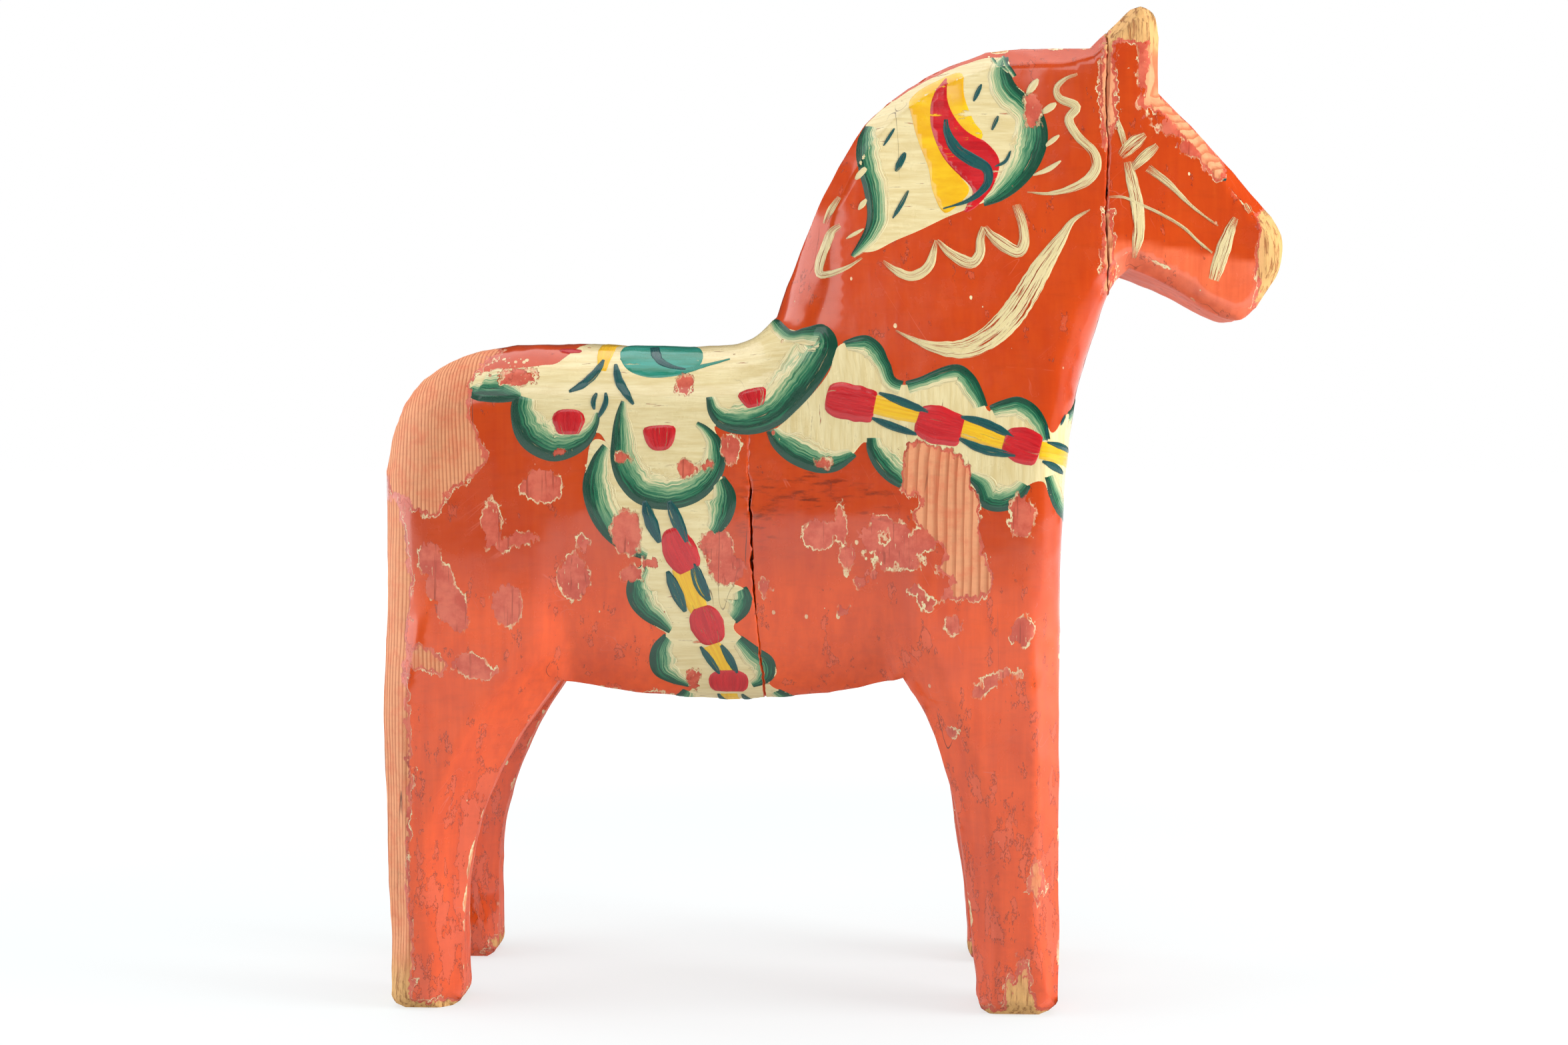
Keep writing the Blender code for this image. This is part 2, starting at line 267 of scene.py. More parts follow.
def inner_surface(x, z, distance):
    """Half the width of the gaps between legs and between ears, and a little past the middle elsewhere."""
    rise = np.clip((z - LEG_GAP_SPRING) / (LEG_GAP_TOP - LEG_GAP_SPRING), 0, 1)
    gap = LEG_GAP_HALF_WIDTH * np.sqrt(1 - rise**2) + edge_drop(x, z, distance) * (1 - rise)
    in_leg = (z < LEG_GAP_TOP) & ((x < HIND_GAP_END) | (x > FORE_GAP_START))
    up, on = z - EAR_NOTCH_FRONT[1], x - EAR_NOTCH_FRONT[0]
    above = up * math.cos(EAR_NOTCH_RISE) + on * math.sin(EAR_NOTCH_RISE)
    notch = above * math.tan(EAR_NOTCH_OPENING / 2)
    in_ear = (x > EAR_GAP_START) & (z > EAR_GAP_LOW)
    return np.where(in_leg, gap, np.where(in_ear, np.clip(notch, PAST_MIDDLE, None), PAST_MIDDLE))


def side_sheet():
    """The side view as flat triangles, with rings of points where the knife works its edge."""
    outline = whole_outline(RIM_STEP)
    before, after = np.roll(outline, 1, axis=0), np.roll(outline, -1, axis=0)
    along = (after - before) / np.linalg.norm(after - before, axis=1)[:, None]
    inward = np.stack([along[:, 1], -along[:, 0]], axis=1)
    points = [outline]
    for share in RIM_RINGS:
        depth = share * knife_width(outline[:, 0], outline[:, 1])
        depth = np.maximum(depth, RIM_FIRST)
        ring = outline + inward * depth[:, None]
        points.append(ring[edge_distance(ring) > 0.95 * depth])
    low, high = outline.min(0), outline.max(0)
    rows = np.arange(low[1], high[1], INSIDE_STEP * 0.866)
    columns = np.arange(low[0], high[0], INSIDE_STEP)
    grid = np.array([(x + (row % 2) * INSIDE_STEP / 2, z) for row, z in enumerate(rows) for x in columns])
    deep = knife_width(grid[:, 0], grid[:, 1]) + INSIDE_STEP * 0.5
    points.append(grid[edge_distance(grid) > deep])
    corners = [Vector(p) for p in np.vstack(points)]
    made = delaunay_2d_cdt(corners, [], [list(range(len(outline)))], 1, 1e-6)
    return np.array([tuple(v) for v in made[0]]), made[2]


def knife_marks(place):
    """How far the knife cut in at a point, in millimetres: long shallow scoops with ridges between."""
    x, y, z = place
    coarse = noise.noise(Vector((x * 45, y * 45, z * 30)))
    cell = noise.voronoi(Vector((x * 95, y * 95, z * 60)))[0][0]
    small = noise.voronoi(Vector((x * 230, y * 230, z * 120)))[0][0]
    return 0.3 * coarse + 0.6 * (0.4 - min(cell, 0.9) ** 2) + 0.16 * (0.4 - min(small, 0.9) ** 2)


def all_of(shape):
    """Every part of a shape, as the mesh tools want it."""
    return list(shape.verts) + list(shape.edges) + list(shape.faces)


def cut(shape, place, normal, **sides):
    """Cut a shape through with a plane, and give back what lies on the cut."""
    return bmesh.ops.bisect_plane(
        shape, geom=all_of(shape), plane_co=place, plane_no=normal, dist=1e-6, **sides
    )["geom_cut"]


def carved_horse():
    """The whole horse as one closed mesh, before it is parted at the joints."""
    flat, triangles = side_sheet()
    shape = bmesh.new()
    for x, z in flat:
        shape.verts.new((x, 0, z))
    shape.verts.ensure_lookup_table()
    for triangle in triangles:
        shape.faces.new([shape.verts[i] for i in triangle])
    outer = list(shape.verts)
    pulled = bmesh.ops.extrude_face_region(shape, geom=list(shape.faces))["geom"]
    inner = [v for v in pulled if isinstance(v, bmesh.types.BMVert)]
    for vertices, surface in ((outer, outer_surface), (inner, inner_surface)):
        place = np.array([(v.co.x, v.co.z) for v in vertices])
        for vertex, depth in zip(vertices, surface(place[:, 0], place[:, 1], edge_distance(place))):
            vertex.co.y = depth
    # The wall between the two surfaces is one long face at each point of the outline until it is cut.
    walls = {e for v in outer for e in v.link_edges if (e.verts[0].co - e.verts[1].co).xz.length < 1e-7}
    longest = max(e.calc_length() for e in walls)
    bmesh.ops.subdivide_edges(shape, edges=list(walls), cuts=round(longest / WALL_STEP), use_grid_fill=True)
    for vertex in shape.verts:
        if abs(vertex.co.y) < 0.1 * MM:
            vertex.co.y = 0
    cut(shape, (0, 0, 0), (0, -1, 0), clear_outer=True)
    bmesh.ops.mirror(shape, geom=all_of(shape), axis="Y", merge_dist=1e-6)
    bmesh.ops.triangulate(shape, faces=[f for f in shape.faces if len(f.verts) > 3])
    bmesh.ops.recalc_face_normals(shape, faces=list(shape.faces))
    shape.normal_update()
    return shape


# ---------------------------------------------------------------- carving and parting

# How the joints wander from their straight plane, as (height, shift) in millimetres.
BODY_JOINT_WANDER = ((100, 3), (108, 3), (125, 1.6), (140, 0.4), (165, -0.5), (182, -1.1), (218, -0.3))
HEAD_JOINT_WANDER = ((235, 0.5), (262, -0.4), (284, 0.5), (300, -0.2), (322, 0.2))
BORE_SIDES = 24
BORE_SPARE = 0.2 * MM
GROOVE_WIDTH = 0.9 * MM
GROOVE_DEPTH = 0.4 * MM
BODY_CRACK_TOP = 178 * MM
BODY_CRACK_CLOSES = 4 * MM
# Half of how far each joint stands open, in millimetres. The body joint is tighter at the belly.
HEAD_GAPE = 0.24
BODY_GAPE_LOW = 0.10
BODY_GAPE_GROWTH = 0.24
BODY_GAPE_WIDENS = (0.125, 0.150)
LEAST_GAPE = 0.02


def wander(knots, z):
    """How far a joint is from its straight plane at a height, with the ragged edge of old wood."""
    heights, shifts = np.array(knots).T * MM
    broad = noise.noise(Vector((3, knots[0][0], z * 160)))
    fine = noise.noise(Vector((7, 0, z * 620)))
    return float(np.interp(z, heights, shifts)) + (0.7 * broad + 0.4 * fine) * MM


def gape(knots, z):
    """Half of how far a joint stands open. The paint still bridges the top of the body joint."""
    shut, wide = 0, HEAD_GAPE
    if knots is BODY_JOINT_WANDER:
        shut = ease(z, BODY_CRACK_TOP - BODY_CRACK_CLOSES, BODY_CRACK_TOP)
        wide = BODY_GAPE_LOW + BODY_GAPE_GROWTH * ease(z, *BODY_GAPE_WIDENS)
    ragged = 1 + 1.3 * noise.noise(Vector((1, 5, z * 240)))
    return MM * max(LEAST_GAPE, wide * ragged * (1 - shut))


def skew(shape, knots, way):
    """Bend a wandering joint straight (way -1), so that a plane can cut it, or back again (way 1)."""
    for vertex in shape.verts:
        vertex.co.x += way * wander(knots, vertex.co.z)


def carve(shape):
    """Press the marks of the knife into the smooth shape, deepest along its worked edges."""
    place = np.array([v.co for v in shape.verts])
    distance = edge_distance(place[:, [0, 2]])
    strength = 0.25 + 1.05 * (1 - ease(distance, 4 * MM, 15 * MM))
    strength = strength * ease(place[:, 2], 0, 4 * MM) * MM
    normals = [v.normal.copy() for v in shape.verts]
    for vertex, normal, by in zip(shape.verts, normals, strength):
        vertex.co -= normal * (knife_marks(vertex.co) * float(by))
    shape.normal_update()


def trim(shape, joint, knots, side):
    """Keep the part of the shape behind (side -1) or in front of (side 1) a joint, and close its end."""
    at = sum(joint) / 2
    skew(shape, knots, -1)
    cut(shape, (at + side * GROOVE_WIDTH, 0, 0), (1, 0, 0))
    end = cut(shape, (at, 0, 0), (-side, 0, 0), clear_outer=True)
    shape.normal_update()
    for vertex in [g for g in end if isinstance(g, bmesh.types.BMVert)]:
        opened = gape(knots, vertex.co.z)
        vertex.co.x += side * opened
        worn = min(opened / (0.2 * MM), 1) * (0.7 + 0.9 * noise.noise(vertex.co * 300))
        vertex.co -= Vector((0, vertex.normal.y, vertex.normal.z)) * (GROOVE_DEPTH * worn)
    edges = [g for g in end if isinstance(g, bmesh.types.BMEdge)]
    bmesh.ops.triangle_fill(shape, use_beauty=True, edges=edges)
    skew(shape, knots, 1)


def drill(piece, dowels):
    """Bore the dowel holes into a block."""
    bores = bmesh.new()
    for name in dowels:
        low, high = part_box(name)
        turn = Matrix.Translation((low + high) / 2) @ Matrix.Rotation(math.pi / 2, 4, "Y")
        radius = (high.z - low.z) / 2
        bmesh.ops.create_cone(
            bores, cap_ends=True, segments=BORE_SIDES, radius1=radius, radius2=radius,
            depth=high.x - low.x + BORE_SPARE, matrix=turn,
        )
    mesh = bpy.data.meshes.new("bores")
    bores.to_mesh(mesh)
    cutter = bpy.data.objects.new("bores", mesh)
    bpy.context.scene.collection.objects.link(cutter)
    bore = piece.modifiers.new("bore", "BOOLEAN")
    bore.object = cutter
    bore.operation = "DIFFERENCE"
    bore.solver = "EXACT"
    bpy.context.view_layer.objects.active = piece
    bpy.ops.object.modifier_apply(modifier=bore.name)
    bpy.data.objects.remove(cutter)


# ---------------------------------------------------------------- wear

# Worn patches on the side of the horse, as outlines of bare wood.
BARE_PATCHES = (
    ((-110, 216), (-118, 209), (-119, 203), (-118, 195), (-115, 187), (-112, 181), (-120, 174),
     (-126, 170),
     (-130, 163), (-137, 166), (-146, 172), (-152, 185), (-150, 205), (-130, 222), (-112, 224)),
    ((-154, 0), (-154, 170), (-142, 168), (-138, 140), (-140, 110), (-138, 80), (-140, 50), (-138, 20),
     (-139, 0)),
    ((24.5, 187), (38, 184), (42, 180), (44, 177), (43, 174), (46, 170), (46, 165), (48, 152),
     (52.5, 142),
     (50, 139), (46, 137), (40, 137), (38, 144), (34, 146), (37, 151), (33, 155), (28, 161), (26, 163),
     (29.5, 166),
     (30, 169), (22.5, 172), (22, 181)),
    ((90, 318.5), (97, 319), (102, 317), (110, 318), (110, 334), (90, 334)),
    ((139.5, 261), (141, 255), (139.5, 246), (142, 238), (140, 231), (150, 226), (158, 245),
     (152, 262), (144, 266)),
    ((101.5, 298), (106, 297), (110, 302), (111, 322), (102, 322), (103, 310)),
    ((103, 299), (112, 291), (120, 283), (127, 274), (130, 277), (122, 288), (112, 297), (107, 303)),
    ((87.8, 236), (90.8, 236), (91.5, 250), (90.3, 262), (89, 262), (88.2, 250)),
    ((88.6, 283), (90.4, 283), (91.4, 300), (92, 322), (88.2, 322), (88.3, 300)),
    ((-138, 121), (-132, 119), (-125, 114), (-127, 112), (-134, 114), (-138, 112)),
    ((-155, -3), (-118, -3), (-119, 1.5), (-126, 3), (-134, 1.5), (-142, 4), (-155, 8)),
    ((46, -3), (80, -3), (80, 4), (72, 2), (67, 3), (64, 10), (61.5, 22), (60, 9), (58, 14), (56.5, 2),
     (50, 2), (46, 1)),
    ((64.5, 42), (66, 52), (68, 45), (67, 38)),
)
# Chips down to the primer: place and half sizes.
CHIPS = (
    (-94, 173, 6.6, 5.3), (-110.5, 160, 3.3, 7.8), (-107, 153.5, 3.9, 1.9), (-101, 155.5, 5.8, 2.1),
    (-84, 143, 5.1, 7.6), (-81, 154, 1.9, 3.3), (-106, 134, 5.1, 7), (-131, 149, 3.9, 5.8),
    (-128, 141, 4.7, 6.6), (-124, 133, 5.1, 6.6), (-121, 128, 3.1, 3.1), (-119, 115, 5.5, 3.1),
    (-114, 112, 4.7, 1.9), (-66.5, 157.5, 4.9, 7.6), (-65, 144, 3.9, 2.9), (-58.5, 148, 2.7, 1.9),
    (-48, 205.5, 3.3, 2.9), (-33, 185, 3.1, 4.7), (-37.5, 153.5, 5.5, 4.7), (-34, 146, 6.4, 5.1),
    (-47, 178.5, 2.9, 2.7), (-40.5, 179.5, 2.3, 1.9), (-68.5, 182, 2.9, 1.9), (-88, 183.5, 2.3, 1.8),
    (-102, 208, 5.5, 3.1), (-4.5, 157.5, 5.1, 5.1), (2.5, 160, 1.9, 6.2), (5, 150, 2.7, 4.7),
    (9, 141.5, 2.3, 2.3), (12, 156, 3.1, 4.7), (17, 151, 3.1, 2.7), (15, 161, 3.5, 2.3),
    (21, 158, 3.1, 3.5), (24, 153, 5.1, 3.9), (30, 156, 4.7, 3.9), (38, 149, 3.5, 4.7),
    (43, 144, 3.1, 5.8), (13, 144, 2.3, 1.9), (18, 147.5, 3.9, 1.9), (25, 147.5, 3.9, 1.9),
    (26.5, 139.5, 1.9, 1.9), (29, 136, 1.9, 1.9), (37, 138, 2.3, 1.9), (31, 134, 1.9, 1.9),
    (-22, 140, 2.1, 2.7), (39, 128, 3.1, 3.1), (61, 126, 3.9, 5.1), (61, 163, 3.9, 7),
    (51.5, 109.5, 3.9, 1.8), (56, 112, 3.9, 1.8), (47, 106.5, 2.3, 2.3), (38.5, 93, 1.9, 1.9),
    (-3, 180, 2.7, 1.8), (65, 295, 2.9, 5.5), (114, 291, 7.8, 3.5), (121, 284, 7.8, 3.5),
    (126, 278, 3.9, 3.1), (102, 310, 2.3, 17.6), (-60, 100.5, 5.8, 3.1), (-46, 108, 2.3, 3.9),
    (4, 132, 1.9, 2.3),
)
# Where hands have left the paint dark and dull.
SOILED = ((-8, 172, 20, 9), (-24, 165, 9, 14), (14, 168, 9, 8), (-46, 152, 8, 6))
# Where the finish is worn thin and full of pale flecks.
FLECKED = ((18, 153, 15, 9), (41, 144, 5, 6), (-127, 138, 6, 14), (-104, 211, 14, 6), (95, 312, 4, 6))
FAR_CHIP_SHIFT = (11, -8)
FAR_BARE_SHIFT = (-3, 5)
FIELD_LIMIT = 4.0
MIDDLE_BLEND = 5 * MM
# How far round an edge bare wood and chips reach, from where they begin to fade to where they end.
BARE_REACH = (17 * MM, 27 * MM)
CHIP_REACH = (5 * MM, 13 * MM)
FADED = 9
REAR_WALL = (-0.110, -0.090)
# Where the grain runs out to an end: at the ears, at the feet and at the muzzle.
EAR_END, FOOT_END, MUZZLE_END = (0.312, 0.319), (0.006, 0.022), (0.136, 0.143)
# How deep the lower cheek is pared before its paint is fully lightened as painted light.
CHEEK_PAINTED_LIGHT_DEPTH = (0, 0.3 * MM)
RUBBED_WIDTH = 1.3 * MM
CREASE_WIDTH = 1.1 * MM
CREASE_DEPTH = 1.5 * MM
CHEST_FRONT = 0.060


def ellipse_depth(place, ellipses):
    """How far inside the nearest of some ellipses each (x, z) is, in millimetres, and below 0 outside."""
    depth = np.full(len(place), -FIELD_LIMIT)
    for x, z, half_x, half_z in ellipses:
        reach = np.sqrt(((place[:, 0] - x) / half_x) ** 2 + ((place[:, 1] - z) / half_z) ** 2)
        depth = np.maximum(depth, (1 - reach) * min(half_x, half_z))
    return depth


def patch_depth(place, patches):
    """The same for outlined patches."""
    depth = np.full(len(place), -FIELD_LIMIT)
    for patch in patches:
        corners = np.array(patch, dtype=float)
        away, inside = np.full(len(place), 1e9), np.zeros(len(place), dtype=bool)
        for a, b in zip(corners, np.roll(corners, -1, axis=0)):
            step, offset = b - a, place - a
            share = np.clip(offset @ step / (step @ step), 0, 1)
            away = np.minimum(away, np.linalg.norm(offset - share[:, None] * step, axis=1))
            crosses = (a[1] > place[:, 1]) != (b[1] > place[:, 1])
            rise = b[1] - a[1] if b[1] != a[1] else 1e-9
            inside ^= crosses & (place[:, 0] < a[0] + (place[:, 1] - a[1]) * step[0] / rise)
        depth = np.maximum(depth, np.where(inside, np.minimum(away, FIELD_LIMIT), -away))
    return depth


def depth_on_both(place, depth_in, shapes, far_shift):
    """How far inside some shapes each point is, with the shapes a little shifted on the far side."""
    flat = place[:, [0, 2]] / MM
    near = ease(-place[:, 1], -MIDDLE_BLEND, MIDDLE_BLEND)
    return near * depth_in(flat, shapes) + (1 - near) * depth_in(flat - np.array(far_shift), shapes)


def wear_of(place):
    """The wear at points in space, the places where the wood or its coat is of another kind, and the pared
    lower cheek, whose paint is made lighter as painted light.
    """
    x, y, z = place.T
    chip = depth_on_both(place, ellipse_depth, CHIPS, FAR_CHIP_SHIFT)
    bare = depth_on_both(place, patch_depth, BARE_PATCHES, FAR_BARE_SHIFT)
    fleck = depth_on_both(place, ellipse_depth, FLECKED, FAR_CHIP_SHIFT)
    soil = depth_on_both(place, ellipse_depth, SOILED, FAR_CHIP_SHIFT)
    # Chips and worn strips reach a little way round an edge, and fade out towards the middle of the horse.
    across = outer_surface(x, z, np.full(len(place), 1.0)) - np.abs(y)
    behind = 1 - ease(x, *REAR_WALL)
    bare = bare - FADED * behind * ease(across, *BARE_REACH)
    chip = chip - FADED * ease(across, *CHIP_REACH)
    end_grain = np.maximum(ease(z, *EAR_END), 1 - ease(z, *FOOT_END))
    end_grain = np.maximum(end_grain, ease(x, *MUZZLE_END))
    return {
        "end_grain": end_grain,
        "chip": chip,
        "bare": bare,
        "fleck": np.clip(fleck / 3, 0, 1),
        "soil": np.clip(soil / 4, 0, 1),
        # The pared lower cheek, which the paint makes lighter as painted light on that downward-facing
        # flat.
        "cheek": ease(cheek_cut(x, z), *CHEEK_PAINTED_LIGHT_DEPTH),
    }


def rim_of(place):
    """1 on the sharp edges that hands and shelves rub, 0 away from them."""
    x, y, z = place[:, 0], np.abs(place[:, 1]), place[:, 2]
    distance = edge_distance(place[:, [0, 2]])
    gap = np.maximum(outer_surface(x, z, distance) - y, 0)
    gap_inside = np.abs(y - inner_surface(x, z, distance))
    outside = np.exp(-(((distance + gap) / RUBBED_WIDTH) ** 2))
    inside = np.exp(-(((distance + gap_inside) / RUBBED_WIDTH) ** 2))
    crease = 0.8 * np.exp(-(((distance - knife_width(x, z)) / CREASE_WIDTH) ** 2))
    crease = crease * (gap < CREASE_DEPTH) * (leg_bevel(x, z) == 0)
    sharp = 1 - 0.9 * roundness(x, z) * (x < CHEST_FRONT)
    return np.maximum(np.maximum(outside, crease) * sharp, inside)


def points_of(mesh):
    return np.array([v.co for v in mesh.vertices])


def write_values(mesh, values):
    """Write named values on the points of a mesh, for its material to read."""
    for name, numbers in values.items():
        made = mesh.attributes.new(name, "FLOAT", "POINT")
        made.data.foreach_set("value", np.asarray(numbers, dtype=np.float32))


def finish_piece(name, shape, material):
    """Turn a shape into a named, smooth-shaded piece on the body, with its wear written on it."""
    mesh = bpy.data.meshes.new(name)
    shape.to_mesh(mesh)
    shape.free()
    write_values(mesh, wear_of(points_of(mesh)))
    mesh.materials.append(material)
    mesh.shade_smooth()
    piece = bpy.data.objects.new(name, mesh)
    bpy.context.scene.collection.objects.link(piece)
    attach(piece, BODY)
    return piece


def make_block(name, node, whole, trims, dowels, material):
    """One glued block of the horse, in place of its CAD solid."""
    shape = whole.copy()
    for joint, knots, side in trims:
        trim(shape, joint, knots, side)
    piece = finish_piece(name, shape, material)
    drill(piece, dowels)
    write_values(piece.data, {"rim": rim_of(points_of(piece.data))})
    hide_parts(node)


# ---------------------------------------------------------------- surfaces unrolled for the brush

PROFILE_STEP = 0.5 * MM
COLUMN_STEP = 2 * MM
FILM_LIFT = 0.13 * MM
FILM_SINK = 0.06 * MM
FILM_LAYER = 0.045 * MM
SECTION_POINTS = 240
UNROLLED_SPARE = 15


def edge_line(names, across):
    """The outline's own stretches, as heights (or depths) sorted for looking up."""
    line = np.vstack([smooth_line(np.array(OUTLINE[name]) * MM, 1 * MM) for name in names])
    order = np.argsort(line[:, across])
    return line[order, across], line[order, 1 - across]


class Side:
    """The flat side of the horse, where a stroke's (x, z) is simply where it is seen."""

    def flatten(self, knots):
        return np.array(knots, dtype=float)

    def place(self, flat):
        x, z = flat[:, 0] * MM, flat[:, 1] * MM
        return np.stack([x, outer_surface(x, z, edge_distance(flat * MM)), z], axis=1)


class Wrap:
    """A side and the edge it turns over, unrolled to one flat sheet.

    Across is the axis the edge runs along: 0 for the back and the belly, 1 for the chest. Start is
    where each section begins on the side, in millimetres. A section runs from there to the edge
    and then straight to the middle of the horse.
    """

    def __init__(self, edge_names, across, low, high, start):
        keys, edges = edge_line(edge_names, across)
        self.across = across
        self.low = low
        columns = np.arange(low, high + 0.1, COLUMN_STEP / MM)
        self.edge = np.interp(columns * MM, keys, edges) / MM
        self.way = 1 if self.edge[0] > start else -1
        # The unrolled sheet is turned over where it would otherwise be seen from behind.
        self.mirror = -1 if self.way * (1 if across == 0 else -1) < 0 else 1
        self.sections = []
        for column, edge in zip(columns, self.edge):
            run, level = np.linspace(start, edge, SECTION_POINTS), np.full(SECTION_POINTS, column)
            flat = np.stack([level, run] if across == 0 else [run, level], axis=1) * MM
            depth = outer_surface(flat[:, 0], flat[:, 1], edge_distance(flat)) / MM
            run, depth = np.append(run, edge), np.append(depth, 0)
            reach = np.concatenate([[0], np.cumsum(np.hypot(np.diff(run), np.diff(depth)))])
            self.sections.append((reach, run, depth))
        longest = max(reach[-1] for reach, run, depth in self.sections) + UNROLLED_SPARE
        even = np.arange(0, longest, PROFILE_STEP / MM)
        self.run = np.array([np.interp(even, reach, run) for reach, run, depth in self.sections])
        self.depth = np.array([
            np.interp(even, reach, depth) - np.maximum(even - reach[-1], 0)
            for reach, run, depth in self.sections
        ])

    def flatten(self, knots):
        """The (along, reach) on the unrolled sheet of knots that are given by where they are seen."""
        made = np.array(knots, dtype=float)
        along, run = made[:, self.across].copy(), made[:, 1 - self.across].copy()
        for i, (u, p) in enumerate(zip(along, run)):
            column = min(max((u - self.low) * MM / COLUMN_STEP, 0), len(self.sections) - 1.001)
            low, share = int(column), column - int(column)
            reach = []
            for k in (low, low + 1):
                lengths, runs, _ = self.sections[k]
                inside = np.interp(p * self.way, runs[:-1] * self.way, lengths[:-1])
                reach.append(inside + max((p - self.edge[k]) * self.way, 0))
            made[i, 0], made[i, 1] = u, reach[0] * (1 - share) + reach[1] * share
        made[:, 0] *= self.mirror
        return made

    def place(self, flat):
        """The points in space of places on the unrolled sheet."""
        along = flat[:, 0] * self.mirror
        column = np.clip((along - self.low) * MM / COLUMN_STEP, 0, len(self.sections) - 1.001)
        row = np.clip(flat[:, 1] * MM / PROFILE_STEP, 0, self.run.shape[1] - 1.001)
        i, j = column.astype(int), row.astype(int)
        a, b = column - i, row - j
        values = []
        for table in (self.run, self.depth):
            first = table[i, j] * (1 - b) + table[i, j + 1] * b
            second = table[i + 1, j] * (1 - b) + table[i + 1, j + 1] * b
            values.append((first * (1 - a) + second * a) * MM)
        run, depth = values
        if self.across == 0:
            return np.stack([along * MM, depth, run], axis=1)
        return np.stack([run, depth, along * MM], axis=1)


# ---------------------------------------------------------------- brush strokes

STROKE_STEP = 0.9
PATCH_STEP = 1.6
STROKE_RINGS = (0, 0.06, 0.22, 0.4, 0.6, 0.8, 0.94, 1)
LOBE_SPREAD = 1.6
TAPER = 0.12
BLOB_STEP = 0.5
ROUND_END = 1.6
SHORTEST_BEND = 0.45 * MM
LEAST_CLEARANCE = 0.04 * MM


def left_of(line):
    """The unit direction to the left of travel at each point of a line."""
    travel = np.gradient(line, axis=0)
    travel = travel / np.maximum(np.linalg.norm(travel, axis=1), 1e-9)[:, None]
    return np.stack([-travel[:, 1], travel[:, 0]], axis=1)


